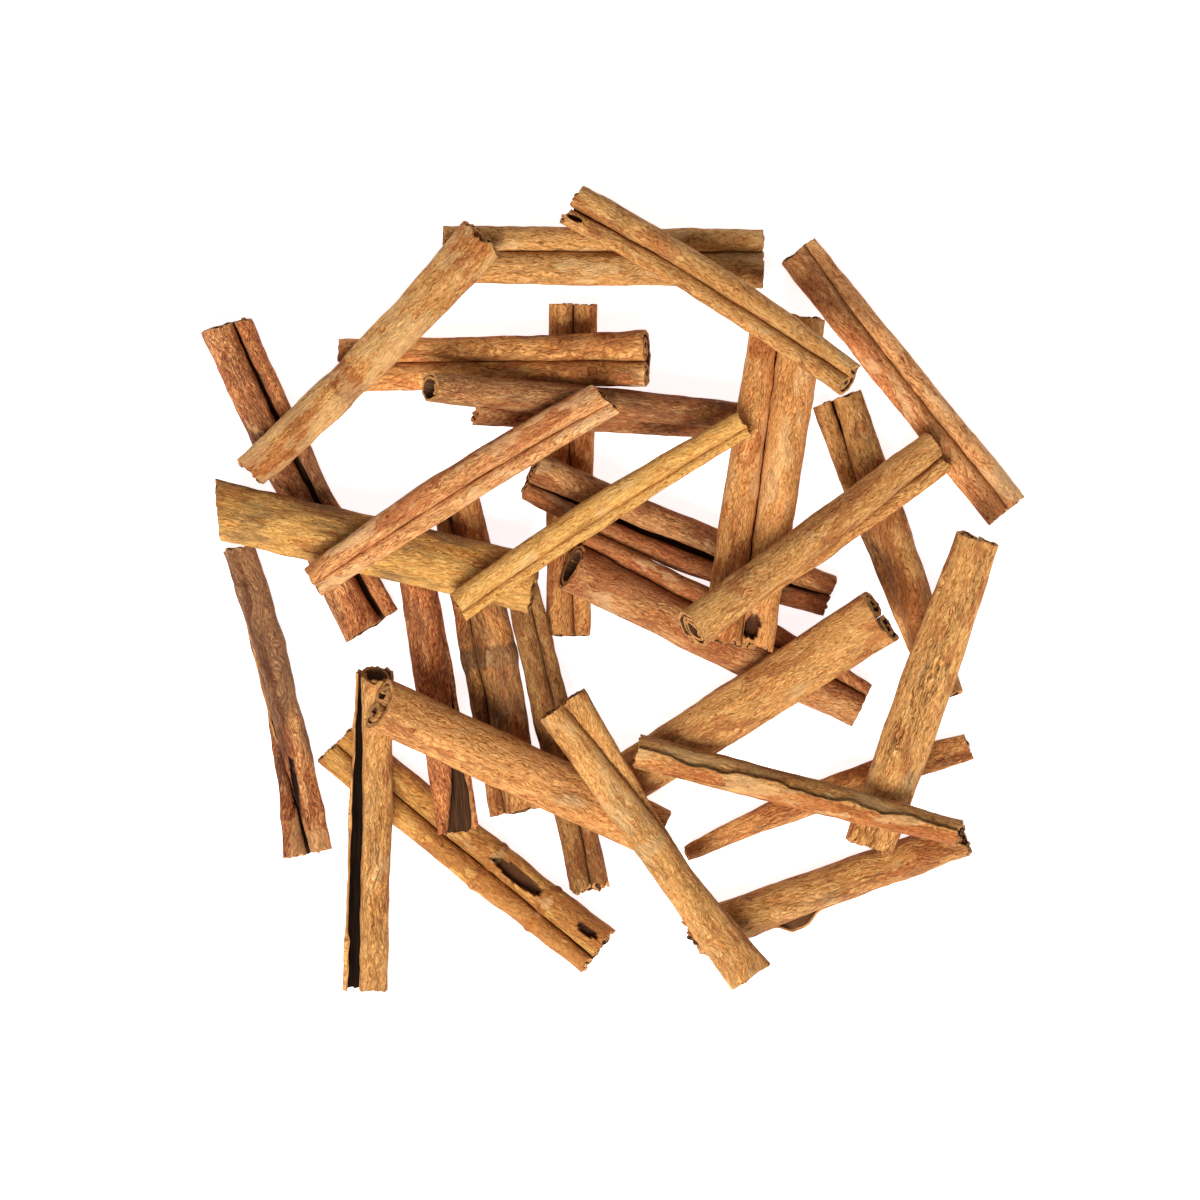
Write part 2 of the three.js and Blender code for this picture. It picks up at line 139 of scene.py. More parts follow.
# dark, mid, light and cream of each shade of bark.
TONES = {
    "tan": (0x925420, 0xCA8A48, 0xE2AF6C, 0xE0B67C),
    "golden": (0xAC6C2A, 0xD4964A, 0xE5B569, 0xE8C182),
    "orange": (0x8A4C1C, 0xC48043, 0xDEA664, 0xDCAF78),
    "olive": (0x78481E, 0xBA7F42, 0xD2A062, 0xD3AC78),
    "rosy": (0x824A24, 0xBE7E49, 0xD9A46A, 0xDDB27E),
    "umber": (0x5C3018, 0x9E6038, 0xD6A163, 0xCF9E66),
}

# Marks: how soft their edge is, how much they cover at most, and how they are laid on, in which colour.
# Scuffs are in the cream of the shade.
BLUSH = (0.2, 0.9, "MULTIPLY", 0xF4DECB)  # the soft red of broad areas
STAIN = (0.18, 0.62, "MIX", 0x5E4533)
FLAKE = (0.025, 0.85, "MULTIPLY", 0xD8BDB2)  # the red of flakes of the deeper layer
SCUFF = (0.025, 0.42, "MIX")

INSIDE_STOPS = [(0.35, 0x26160D), (0.65, 0x5C3D25)]  # the inner face: darker and close-grained
CUT_STOPS = [(0.36, 0x744724), (0.62, 0xD0955A)]  # cut and torn edges: paler

# Light and camera, in metres and watts.
SKY_STRENGTH = 0.28
SOFTBOX_SIZE = 1.4
SOFTBOX_POWER = 106
SOFTBOX_PLACE = (-0.35, -1.45, 2.1)
CARD_REACH = 1.0  # half the width of the white card
CARD_COLOUR = 0xF0F0F0
CARD_ROUGHNESS = 0.9
CARD_GLOW = (0xFCFCFF, 0.82)  # it is lit so brightly that it is almost plain white
CAMERA_HEIGHT = 4.0  # far enough away to look almost without perspective
VIEW_WIDTH = 0.282  # width of the ground that the camera sees
VIEW_MIDDLE = (-0.00235, -0.00235)  # what it looks at, from where the ends of the sticks are measured

# What a stick has where the table below says nothing else. left and right are the widths of the two rolls at
# the start, the middle and the end, and gap is the slit between them. back is the back's radius as a
# multiple of half the width, curl the most turns of a roll, and wall the thickness of the bark. turn is the
# way the slit faces at each end: 0 is up, 90 is left and 180 is down, in degrees. bow bends the middle to
# the left, and slant is how much further out the left side reaches at each end. lean is how far the top of
# each end is set back, tear how deep each end is torn, and seam how far the long outer edge of a single curl
# wanders. squash is a share of the height and uneven a share of the usual wobble of the rolls. A peel is
# where the outer edge of a single curl lifts off, as a share of the length, by how much and half its length.
# A ring is its place as a share of the length, its height (less than 0 for a neck) and half its width, and
# ring_marks its red, cream and dark. A hole is its place as a share of the length, how far left of the
# middle it is and its depth; its size is half its length, half its width and the share by which painted
# shade darkens it. red, cream and dark are how much of each mark there is at the start, the middle and the
# end, from 0 to 1, and less than 0 where a mark ends before that. side is how much redder the left side is
# than the right, and how much painted shade darkens it. cracks and swirl are from 0 to 1. tone is how light
# the outer face is, and inner the painted light and shade of the inner face, at the start and further in.
USUAL = dict(
    single=False, left=(0, 0, 0), right=(0, 0, 0), gap=(0.1, 0.1, 0.1), back=1.3, curl=1.9, wall=1.1,
    turn=(0, 0), bow=0.0, squash=1.0, uneven=1.0, slant=(0, 0), lean=(0.6, 0.6), tear=(0.5, 0.5), seam=0.5,
    peel=(0, 0, 1), ring=(0, 0, 1), ring2=(0, 0, 1), ring_marks=(0.3, 0, 0.2), hole=(0, 0, 0),
    hole_size=(1, 1, 0.6), hole2=(0, 0, 0), hole2_size=(1, 1, 0.6), red=(0.25, 0.25, 0.25),
    cream=(0.1, 0.1, 0.1), dark=(0.1, 0.1, 0.1), side=(0, 0), cracks=0.15, swirl=0.2, tone=1.0,
    inner=(1.3, 1.0),
)

# The sticks, lowest first. start and end are the two ends in plan, from near the middle of the stack.
STICKS = [
    dict(number="01", bark="orange", start=(-8.7, 67.3), end=(-9.9, -10.9), left=(5.3, 5.5, 3.3),
         right=(5.6, 5.2, 6.7), gap=(0.2, 0.1, 0.1), back=1.4, red=(0.3, 0.4, 0.3), tone=0.97),
    dict(number="02", bark="olive", start=(-39.4, 78.8), end=(36.2, 77.6), left=(5.9, 5.6, 5.3),
         right=(7.4, 7.9, 8.7), red=(0.3, 0.1, 0.2), cream=(0.15, 0.25, 0.2), dark=(0.35, 0.1, 0.2),
         swirl=0.3, tone=1.1),
    dict(number="03", bark="umber", start=(-90.5, 62.7), end=(-55.8, -8.8), left=(4, 3.3, 3.4),
         right=(7.8, 7.3, 9.9), gap=(0.4, 1.4, 1.3), back=1.5, wall=0.9, bow=-0.7, uneven=1.3,
         slant=(-2.2, -1.7), lean=(1.2, 0.8), red=(0.45, 0.4, 0.5), cream=(0, 0.1, 0),
         dark=(0.35, 0.45, 0.2), cracks=0.35, tone=1.43),
    dict(number="04", bark="golden", start=(-64.3, -35.8), end=(-2.6, -84.8), left=(6.5, 7, 8.2),
         right=(6, 5.6, 4), gap=(0.1, 0.2, 0.5), back=1.4, curl=1.05, bow=-0.5, slant=(-1.8, 0),
         tear=(0.8, 1.4), ring=(0.585, 0.35, 1.1), ring2=(0.79, 0.35, 1.0), ring_marks=(0.45, 0.2, 0.1),
         hole=(0.67, 2.4, 3.0), hole_size=(6.6, 1.6, 0.5), hole2=(0.939, 2.4, 2.4),
         hole2_size=(3.2, 0.9, 0.6), red=(0.35, 0.45, 0.45), tone=0.88),
    dict(number="05", bark="olive", start=(53.2, 45.1), end=(78.6, -25.6), left=(6.8, 8, 7.5),
         right=(4.2, 4.2, 4), gap=(0.9, 0.1, 0.1), back=1.1, turn=(-5, -80), red=(0.25, 0.4, 0.35),
         cream=(0, 0, 0), dark=(0.1, 0.35, 0.1), swirl=0.4),
    dict(number="06", bark="rosy", start=(43.9, 79.7), end=(93.3, 18.4), left=(2.7, 4.5, 4.8),
         right=(7, 5.9, 6.1), gap=(0.1, 0.1, 0.2), wall=0.9, red=(0.3, 0.3, 0.25), cream=(0.1, 0.15, 0.2),
         dark=(0.05, 0.15, 0.1), side=(-0.25, 0.12), tone=1.28),
    dict(number="07", bark="orange", start=(17.6, -62), end=(84.5, -36.7), left=(2.1, 4, 2.9),
         right=(2.1, 3.8, 2.9), gap=(0.1, 0.1, 0.2), back=1.2, wall=0.7, turn=(120, 180), bow=1.5,
         red=(0.35, 0.35, 0.4), cream=(0, 0, 0), cracks=0.6, swirl=0.5, tone=1.03),
    dict(number="08", bark="tan", start=(19.5, -81.8), end=(83.9, -58.3), single=True, left=(11.3, 9.8, 9),
         curl=2.3, wall=0.7, turn=(243, 243), bow=0.5, slant=(2.4, 0), lean=(0.4, 1.6), tear=(2.2, 1.8),
         peel=(0.36, 2.6, 5.0), red=(0.3, 0.3, 0.5), dark=(0.1, 0.25, 0.2), tone=0.9, inner=(1.3, 1.8)),
    dict(number="09", bark="umber", start=(-87.7, 10.1), end=(-70.9, -62.2), left=(7.8, 7.4, 4.7),
         right=(1.4, 1.2, 5.2), gap=(0, 0, 1.1), back=1.2, wall=0.8, turn=(-55, 0), bow=2, squash=0.9,
         uneven=1.9, tear=(0.6, 0.8), hole=(0.79, -0.6, 1.6), hole_size=(7.5, 0.6, 0.85),
         red=(0.15, 0.25, 0.7), cream=(0, 0, 0.35), dark=(1.0, 0.9, -0.7), side=(-0.4, -0.2), swirl=0.5,
         tone=1.2, inner=(1.0, 0.3)),
    dict(number="10", bark="tan", start=(-21.4, 3.5), end=(-4.5, -71), left=(2.6, 3.3, 4.1),
         right=(4.9, 5.6, 5.1), gap=(0.1, 0.1, 0.2), wall=0.8, bow=0.3, lean=(0.6, 2.0), tear=(0.5, 1.6),
         red=(0.35, 0.35, 0.4), dark=(0.35, 0.3, 0.2), tone=0.57),
    dict(number="11", bark="orange", start=(-36.7, 23), end=(-22.2, -52.3), left=(7.3, 9.4, 8.5),
         right=(3.5, 3.5, 3.2), wall=0.9, bow=1, ring=(0.52, 0.25, 2.6), ring_marks=(0, 0.2, 0.55),
         red=(0.3, 0.3, 0.3), dark=(0.4, 0.5, 0.3), side=(0, -0.3), cracks=0.3, tone=0.95),
    dict(number="12", bark="rosy", start=(-31.5, 41.8), end=(44.6, 37.6), single=True, left=(6.1, 6.1, 6.1),
         turn=(60, 60), tear=(1.0, 1.0), red=(0.4, 0.4, 0.4), dark=(0.4, 0.4, 0.4), tone=0.91),
    dict(number="13", bark="rosy", start=(-18.8, 27), end=(51.9, -1.5), left=(7.8, 6.3, 4.8),
         right=(4.2, 4.7, 4.7), gap=(0.1, 1.6, 0.2), wall=0.9, bow=-1.5, red=(0.4, 0.45, 0.5),
         cream=(0.35, 0.15, 0.1), dark=(0.3, 0.3, 0.3), side=(-0.2, 0), cracks=0.3, tone=0.92),
    dict(number="14", bark="rosy", start=(-9.3, 7.6), end=(59.5, -27.3), left=(3.5, 4.7, 2.8),
         right=(11.5, 10.3, 7.8), gap=(0.2, 0.2, 0.2), back=1.2, wall=0.75, bow=0.6, lean=(2.4, 0.8),
         red=(0.5, 0.5, 0.35), cream=(0.15, 0.2, 0.2), side=(0.2, 0.02), tone=0.99),
    dict(number="15", bark="orange", start=(-63.7, 52.6), end=(9, 54.3), left=(5.4, 5.9, 7.3),
         right=(7, 6.1, 5.8), gap=(0.1, 0.1, 0.2), lean=(0.6, 0.9), red=(0.35, 0.3, 0.35),
         dark=(0.3, 0.25, 0.25), cracks=0.25, swirl=0.9, tone=1.19),
    dict(number="16", bark="umber", start=(-46.2, 11.8), end=(-35.5, -56.9), left=(1.6, 1.6, 1.7),
         right=(8.2, 8.2, 2.0), gap=(0, 0.1, 5.8), wall=0.8, turn=(55, 0), squash=0.85, tear=(0.5, 0.8),
         red=(0.5, 0.5, 0.45), cream=(0, 0, 0.1), dark=(0.3, 0.4, 0.2), cracks=0.35, tone=1.7,
         inner=(1.0, 0.9)),
    dict(number="17", bark="tan", start=(-54.9, -18.6), end=(-57.5, -94), left=(8, 7, 6.6),
         right=(0.9, 0.9, 1.0), gap=(-0.1, 2.2, 2.6), back=1.25, wall=0.6, lean=(2.6, 0.5), tear=(1.2, 0.6),
         cracks=0.8, swirl=0.5, tone=1.02, inner=(2.8, 0.17)),
    dict(number="18", bark="rosy", start=(-43.8, 47.9), end=(31, 41.1), single=True, left=(7, 7.5, 6.3),
         curl=1.5, wall=0.6, turn=(150, 150), lean=(3.2, 1.6), tear=(0.4, 1.4), red=(0.15, 0.35, 0.4),
         dark=(0.15, 0.3, 0.45), tone=0.86),
    dict(number="19", bark="golden", start=(-92.2, 18.9), end=(-17.4, 1.3), left=(6.8, 6.8, 6.8),
         right=(6.8, 6.8, 6.8), back=1.25, turn=(180, 180), slant=(4.6, 0), red=(0.3, 0.25, 0.3),
         dark=(0.45, 0.4, 0.25), side=(0.2, 0.1), swirl=0.4, tone=0.87),
    dict(number="20", bark="tan", start=(-1.9, -48.2), end=(63.4, -6), left=(5.6, 6.3, 6.7),
         right=(5.6, 6.3, 6.7), gap=(0.1, 0.1, 0.2), back=1.2, curl=1.4, turn=(180, 180), uneven=0.7,
         lean=(0.6, 0.7), tear=(0.5, 0.6), red=(0.2, 0.25, 0.35), dark=(0.45, 0.2, 0.1), swirl=0.3),
    dict(number="21", bark="tan", start=(86.2, 12.3), end=(60.6, -60.4), left=(5.2, 6, 5.8),
         right=(5.2, 6, 5.8), back=1.2, turn=(180, 180), uneven=0.7, lean=(0.8, 0.4), tear=(0.6, 0.8),
         red=(0.3, 0.2, 0.35), cream=(0.1, 0.1, 0.2), cracks=1.0, swirl=0.3, tone=1.03),
    dict(number="22", bark="orange", start=(-55, -26.1), end=(11.8, -57.3), left=(6.1, 6.1, 5.9),
         right=(6.1, 6.1, 5.9), back=1.08, curl=1.3, turn=(180, 180), uneven=0.7, lean=(3.0, 0.6),
         red=(0.15, 0.15, 0.2), dark=(0.0, 0.2, 0.15), swirl=0.3, inner=(1.8, 1.0)),
    dict(number="23", bark="orange", start=(42.1, 64.9), end=(29.6, -12.9), left=(10.8, 9.2, 7.3),
         right=(6.3, 7.8, 9.4), gap=(0.2, 0.2, 0.2), back=1.5, lean=(1.4, 0.8), tear=(1.2, 1.2),
         hole=(0.945, 2.8, 3.0), hole_size=(3.2, 1.7, 0.65), red=(0.25, 0.15, 0.3), cream=(0.2, 0.25, 0.2),
         side=(-0.25, -0.06), tone=1.29),
    dict(number="24", bark="tan", start=(-29.3, 83.2), end=(-84.5, 27.4), left=(5.8, 4.9, 4.3),
         right=(5.8, 4.9, 4.3), back=1.2, turn=(180, 180), bow=1.3, lean=(1.6, 0.6), tear=(1.4, 0.8),
         ring=(0.6, -0.45, 4.0), ring_marks=(0.55, 0, 0), red=(0.45, 0.15, 0.75), cream=(0.35, 0.5, 0.5),
         dark=(0, 0, 0), tone=1.01),
    dict(number="25", bark="tan", start=(-9.6, 90.9), end=(55.8, 49), left=(5.9, 5.6, 3.8),
         right=(4, 3.9, 4.6), gap=(0.5, 0.1, 0.1), wall=0.9, bow=1.6, lean=(1.8, 0.4), tear=(1.6, 0.8),
         hole=(0.035, -2.7, 2.0), hole_size=(2.3, 0.6, 0.75), red=(0.25, 0.25, 0.2), dark=(0.15, 0.1, 0.1),
         cracks=0.25, tone=0.95),
    dict(number="26", bark="tan", start=(19.6, -9.6), end=(76.8, 32.4), left=(9.2, 8.2, 6.6),
         right=(3.1, 3.1, 3.8), gap=(0.1, 0.1, 0.4), back=1.2, curl=2.4, wall=0.8, turn=(-75, -8),
         lean=(-0.8, 0.5), red=(0.15, 0.3, 0.2), tone=1.09),
    dict(number="27", bark="tan", start=(6.1, -37.8), end=(81.8, -57.1), single=True, left=(8.2, 8, 6.3),
         curl=2.3, wall=0.5, tear=(0.8, 1.2), seam=0.9, peel=(0.5, 0.7, 60), red=(0.25, 0.45, 0.5),
         cream=(0.25, 0.3, 0.15), dark=(0.2, 0.15, 0.1), side=(-0.4, 0.22), tone=0.95),
    dict(number="28", bark="rosy", start=(-69.8, 1.6), end=(-0.7, 45), left=(4.4, 5.9, 6.1),
         right=(3.2, 4.0, 2.9), wall=0.75, bow=1.0, uneven=0.5, slant=(0, -2.2), red=(0.15, 0.2, 0.25),
         cream=(0.25, 0.25, 0.4), dark=(0.2, 0.25, 0.25), side=(0.45, 0.08), tone=1.31),
    dict(number="29", bark="golden", start=(-35.7, -4.2), end=(31.7, 38.9), left=(5.2, 5.4, 4.3),
         right=(2.1, 2.3, 2.1), gap=(0, 0, 0), wall=0.6, bow=1.2, uneven=0.5, red=(0.05, 0.05, 0.05),
         cream=(0.2, 0.2, 0.2), dark=(0, 0, 0), tone=1.03),
    dict(number="30", bark="tan", start=(-11.4, -26.4), end=(33.4, -90.7), left=(6.2, 1.9, 1.0),
         right=(6.2, 8.1, 10.8), gap=(0.1, 0, 0), back=1.15, wall=0.8, turn=(0, 85), bow=-0.9, squash=0.85,
         ring=(0.505, 0.12, 1.8), ring_marks=(0, 0.45, 0.3), red=(0.25, 0.15, 0.25), cream=(0.2, 0.25, 0.2),
         dark=(0, 0, 0), cracks=0.4, swirl=0.4, tone=1.02),
]

# Worked out from the above.
TEAR_MEAN = (1 + FINE_TEAR) / 2
SINGLE_OFFSET = PITCH / 4  # the middle of a spiral's outline is this far off its centre, both ways
SHEET_FACES = 2 * (OUTER_FACES + INNER_FACES) + BACK_FACES
LOOP_FACES = 2 * (SHEET_FACES + EDGE_FACES)
ROW_FACES = LENGTH_FACES + 2  # the last row at each end closes the cut

MATH = "ShaderNodeMath"
VECTOR = "ShaderNodeVectorMath"
RANGE = "ShaderNodeMapRange"
NOISE = "ShaderNodeTexNoise"
SWITCH = "GeometryNodeSwitch"


def add(tree, kind, *values, into=None, out=0, **settings):
    """Adds one node, fills or links its inputs by place or by name, and returns one of its outputs."""
    node = tree.nodes.new(kind)
    for name, value in settings.items():
        setattr(node, name, value)
    for key, value in [*enumerate(values), *(into or {}).items()]:
        if isinstance(value, bpy.types.NodeSocket):
            tree.links.new(value, node.inputs[key])
        elif value is not None:
            node.inputs[key].default_value = value
    return node.outputs[out]


def split(tree, vector):
    """The three parts of a vector."""
    return list(add(tree, "ShaderNodeSeparateXYZ", vector).node.outputs)


def linear(code):
    """A colour written as an sRGB hex number, as the linear colour that Blender works in."""
    channels = [((code >> shift) & 255) / 255 for shift in (16, 8, 0)]
    return [c / 12.92 if c <= 0.04045 else ((c + 0.055) / 1.055) ** 2.4 for c in channels] + [1.0]


def scaled_noise(tree, place, scale, out="Fac"):
    """Noise on the sheet whose features are about this long along the stick and this wide across it."""
    length, width, detail = scale
    stretched = add(tree, VECTOR, place, (1 / length, 1 / width, 1), operation="MULTIPLY")
    return add(tree, NOISE, out=out, into={
        "Vector": stretched, "Scale": 1, "Detail": detail, "Roughness": NOISE_ROUGHNESS})


# --- The sheet of bark ---

def sheet_fields(tree):
    """Where each point of the grid is on the sheet: its share of the length, its column and its face."""
    index = add(tree, "GeometryNodeInputIndex")
    row = add(tree, MATH, index, ROW_FACES + 1, operation="MODULO")
    loop = add(tree, MATH, add(tree, MATH, index, ROW_FACES + 1, operation="DIVIDE"), operation="FLOOR")
    share = add(tree, RANGE, row, 1, ROW_FACES - 1, 0, 1)
    other_end = add(tree, MATH, ROW_FACES, row, operation="SUBTRACT")
    open_end = add(tree, MATH, row, other_end, operation="MINIMUM", use_clamp=True)
    # The loop of columns runs over the outer face, round the right edge, back over the inner face and round
    # the left edge. layer is 1 on the outer face and -1 on the inner one.
    right_edge = add(tree, RANGE, loop, SHEET_FACES, SHEET_FACES + EDGE_FACES, 0, math.pi)
    left_edge = add(tree, RANGE, loop, LOOP_FACES - EDGE_FACES, LOOP_FACES, 0, math.pi)
    phase = add(tree, MATH, right_edge, left_edge, operation="ADD")
    layer = add(tree, MATH, add(tree, MATH, phase, operation="COSINE"), open_end, operation="MULTIPLY")
    bulge = add(tree, MATH, add(tree, MATH, phase, operation="SINE"), open_end, operation="MULTIPLY")
    fold = SHEET_FACES + EDGE_FACES / 2
    from_fold = add(tree, MATH, add(tree, MATH, loop, fold, operation="SUBTRACT"), operation="ABSOLUTE")
    column = add(tree, RANGE, from_fold, EDGE_FACES / 2, fold, SHEET_FACES, 0)
    return share, column, layer, bulge


def station_value(tree, values, share):
    """The value at one share of the way along, from those at the start, the middle and the end."""
    early = add(tree, MATH, add(tree, RANGE, share, 0, 0.5, 1, 0), EASE, operation="POWER")
    late = add(tree, MATH, add(tree, RANGE, share, 0.5, 1, 0, 1), EASE, operation="POWER")
    ends = add(tree, MATH, early, late, operation="ADD")
    middle = add(tree, MATH, 1, ends, operation="SUBTRACT")
    weights = add(tree, "ShaderNodeCombineXYZ", early, middle, late)
    return [add(tree, VECTOR, value, weights, operation="DOT_PRODUCT", out="Value") for value in values]


def mean_radius(tree, width, wall, wander):
    """A roll's mean radius, at the middle of its bark."""
    bare = add(tree, MATH, width, wall, operation="SUBTRACT")
    return add(tree, MATH, bare, 0.5, wander, operation="MULTIPLY_ADD")


def roll_radius(tree, mean, pitch, turns):
    """A roll's radius after this many turns inward."""
    shrunk = add(tree, MATH, START_SAG, turns, operation="SUBTRACT")
    return add(tree, MATH, shrunk, pitch, mean, operation="MULTIPLY_ADD")


def roll_turns(tree, mean, wall, pitch, most):
    """How many turns a roll has room for, up to the most."""
    core = add(tree, MATH, wall, 0.5, CORE_SPACE, operation="MULTIPLY_ADD")
    room = add(tree, MATH, add(tree, MATH, mean, core, operation="SUBTRACT"), pitch, operation="DIVIDE")
    return add(tree, MATH, add(tree, MATH, room, START_SAG, operation="ADD"), most, operation="MINIMUM")


def back_arc(tree, given, left, right, gap, pitch):
    """The arc that holds the two rolls, tangent to both: half the stick's width, half the distance between
    the middles of the rolls, and the arc's radius and middle."""
    sag = add(tree, MATH, pitch, START_SAG, operation="MULTIPLY")
    both = add(tree, MATH, left, right, operation="ADD")
    clear = add(tree, MATH, pitch, WALL / PITCH - 2 * MIDDLE_SAG, gap, operation="MULTIPLY_ADD")
    apart = add(tree, MATH, both, clear, operation="ADD")
    whole = add(tree, MATH, apart, both, operation="ADD")
    half = add(tree, MATH, whole, 0.5, sag, operation="MULTIPLY_ADD")
    rounded = add(tree, MATH, given["back"], half, operation="MULTIPLY")
    back = add(tree, MATH, rounded, add(tree, MATH, half, LEAST_BACK, operation="ADD"), operation="MAXIMUM")
    inset = add(tree, MATH, back, sag, operation="SUBTRACT")
    squares = [add(tree, MATH, add(tree, MATH, inset, side, operation="SUBTRACT"), 2, operation="POWER")
               for side in (left, right)]
    uneven = add(tree, MATH, squares[1], squares[0], operation="SUBTRACT")
    lean = add(tree, MATH, uneven, apart, operation="DIVIDE")
    half_apart = add(tree, MATH, apart, 0.5, operation="MULTIPLY")
    back_x = add(tree, MATH, lean, 0.5, operation="MULTIPLY")
    along = add(tree, MATH, back_x, half_apart, operation="ADD")
    rise = add(tree, MATH, squares[1], add(tree, MATH, along, 2, operation="POWER"), operation="SUBTRACT")
    back_y = add(tree, MATH, rise, operation="SQRT")
    return half, half_apart, back, back_x, back_y


def back_angles(tree, half_apart, back_x, back_y):
    """The angle at which the back meets the left roll, and the angle that it spans."""
    drop = add(tree, MATH, back_y, -1, operation="MULTIPLY")
    starts = [add(tree, MATH, drop, add(tree, MATH, half_apart, back_x, operation=side), operation="ARCTAN2")
              for side in ("SUBTRACT", "ADD")]
    span = add(tree, MATH, add(tree, MATH, *starts, operation="ADD"), math.pi, operation="ADD")
    return starts[0], span


def double_curl(tree, given, share, column, wobble, pitch):
    """Centre, radius, angle, distance across the sheet and half width, for a back between two rolls."""
    *widths, gap = station_value(tree, [given["left"], given["right"], given["gap"]], share)
    left, right = [mean_radius(tree, width, given["wall"], wander) for width, wander in zip(widths, wobble)]
    half, half_apart, back, back_x, back_y = back_arc(tree, given, left, right, gap, pitch)
    left_start, span = back_angles(tree, half_apart, back_x, back_y)

    # Which of the three parts of the sheet a point is on, and how far along it.
    centre = SHEET_FACES / 2
    off_centre = add(tree, MATH, column, centre, operation="SUBTRACT")
    on_left = add(tree, MATH, off_centre, 0, operation="LESS_THAN")
    from_centre = add(tree, MATH, off_centre, operation="ABSOLUTE")
    on_back = add(tree, MATH, from_centre, BACK_FACES / 2, operation="LESS_THAN")
    over_back = add(tree, RANGE, column, centre - BACK_FACES / 2, centre + BACK_FACES / 2, 0, 1)
    over_outer = add(tree, RANGE, from_centre, BACK_FACES / 2, BACK_FACES / 2 + OUTER_FACES, 0, 1)
    over_inner = add(tree, RANGE, from_centre, BACK_FACES / 2 + OUTER_FACES, centre, 0, 1)

    roll = add(tree, SWITCH, on_left, right, left, input_type="FLOAT")
    curl = roll_turns(tree, roll, given["wall"], pitch, given["curl"])
    outer_curl = add(tree, MATH, curl, OUTER_TURNS, operation="MINIMUM")
    inner_curl = add(tree, MATH, curl, outer_curl, operation="SUBTRACT")
    outer_turns = add(tree, MATH, over_outer, outer_curl, operation="MULTIPLY")
    turns = add(tree, MATH, over_inner, inner_curl, outer_turns, operation="MULTIPLY_ADD")
    radius = add(tree, SWITCH, on_back, roll_radius(tree, roll, pitch, turns), back, input_type="FLOAT")
    left_or_right = add(tree, MATH, on_left, 2, -1, operation="MULTIPLY_ADD")
    roll_x = add(tree, MATH, left_or_right, half_apart, operation="MULTIPLY")
    centre_x = add(tree, SWITCH, on_back, roll_x, back_x, input_type="FLOAT")
    centre_y = add(tree, SWITCH, on_back, 0.0, back_y, input_type="FLOAT")
    swept = add(tree, MATH, left_or_right, turns, operation="MULTIPLY")
    back_angle = add(tree, MATH, over_back, span, operation="MULTIPLY")
    at_back = add(tree, MATH, left_start, back_angle, operation="SUBTRACT")
    angle = add(tree, MATH, swept, 2 * math.pi, at_back, operation="MULTIPLY_ADD")

    # The distance across the sheet, which the pattern of the bark follows.
    arc = add(tree, MATH, span, back, operation="MULTIPLY")
    back_across = add(tree, MATH, add(tree, MATH, over_back, 0.5, operation="SUBTRACT"), arc,
                      operation="MULTIPLY")
    round_roll = add(tree, MATH, swept, add(tree, MATH, roll, -2 * math.pi, operation="MULTIPLY"),
                     operation="MULTIPLY")
    across = add(tree, MATH, back_across, round_roll, operation="ADD")

    # The middle of the outline.
    sag = add(tree, MATH, pitch, START_SAG, operation="MULTIPLY")
    top = add(tree, MATH, add(tree, MATH, left, right, operation="MAXIMUM"), sag, operation="ADD")
    bottom = add(tree, MATH, back_y, back, operation="SUBTRACT")
    lopsided = add(tree, MATH, left, right, operation="SUBTRACT")
    middle_x = add(tree, MATH, lopsided, 0.5, operation="MULTIPLY")
    middle_y = add(tree, MATH, add(tree, MATH, top, bottom, operation="ADD"), 0.5, operation="MULTIPLY")
    at = add(tree, "ShaderNodeCombineXYZ", 0.0, add(tree, MATH, centre_x, middle_x, operation="SUBTRACT"),
             add(tree, MATH, centre_y, middle_y, operation="SUBTRACT"))
    return at, radius, angle, across, half


def band(tree, given, share, name):
    """How far each point is from a band across the stick, in half widths, and the band's height there."""
    place, height, reach = split(tree, given[name])
    off = add(tree, MATH, add(tree, MATH, share, place, operation="SUBTRACT"), given["Length"],
              operation="MULTIPLY")
    far = add(tree, MATH, add(tree, MATH, off, operation="ABSOLUTE"), reach, operation="DIVIDE")
    rounded = add(tree, RANGE, far, *BAND_SLOPE, 1, 0, interpolation_type="SMOOTHSTEP")
    return far, add(tree, MATH, rounded, height, operation="MULTIPLY")


def band_marks(tree, given, name, far, ragged):
    """How much of a band's marks each point has, with a ragged edge: none, if the stick has no such band."""
    place, _, _ = split(tree, given[name])
    cover = add(tree, RANGE, add(tree, MATH, far, ragged, operation="ADD"), *BAND_MARKS, 1, 0)
    return add(tree, MATH, cover, add(tree, MATH, place, 0, operation="GREATER_THAN"), operation="MULTIPLY")


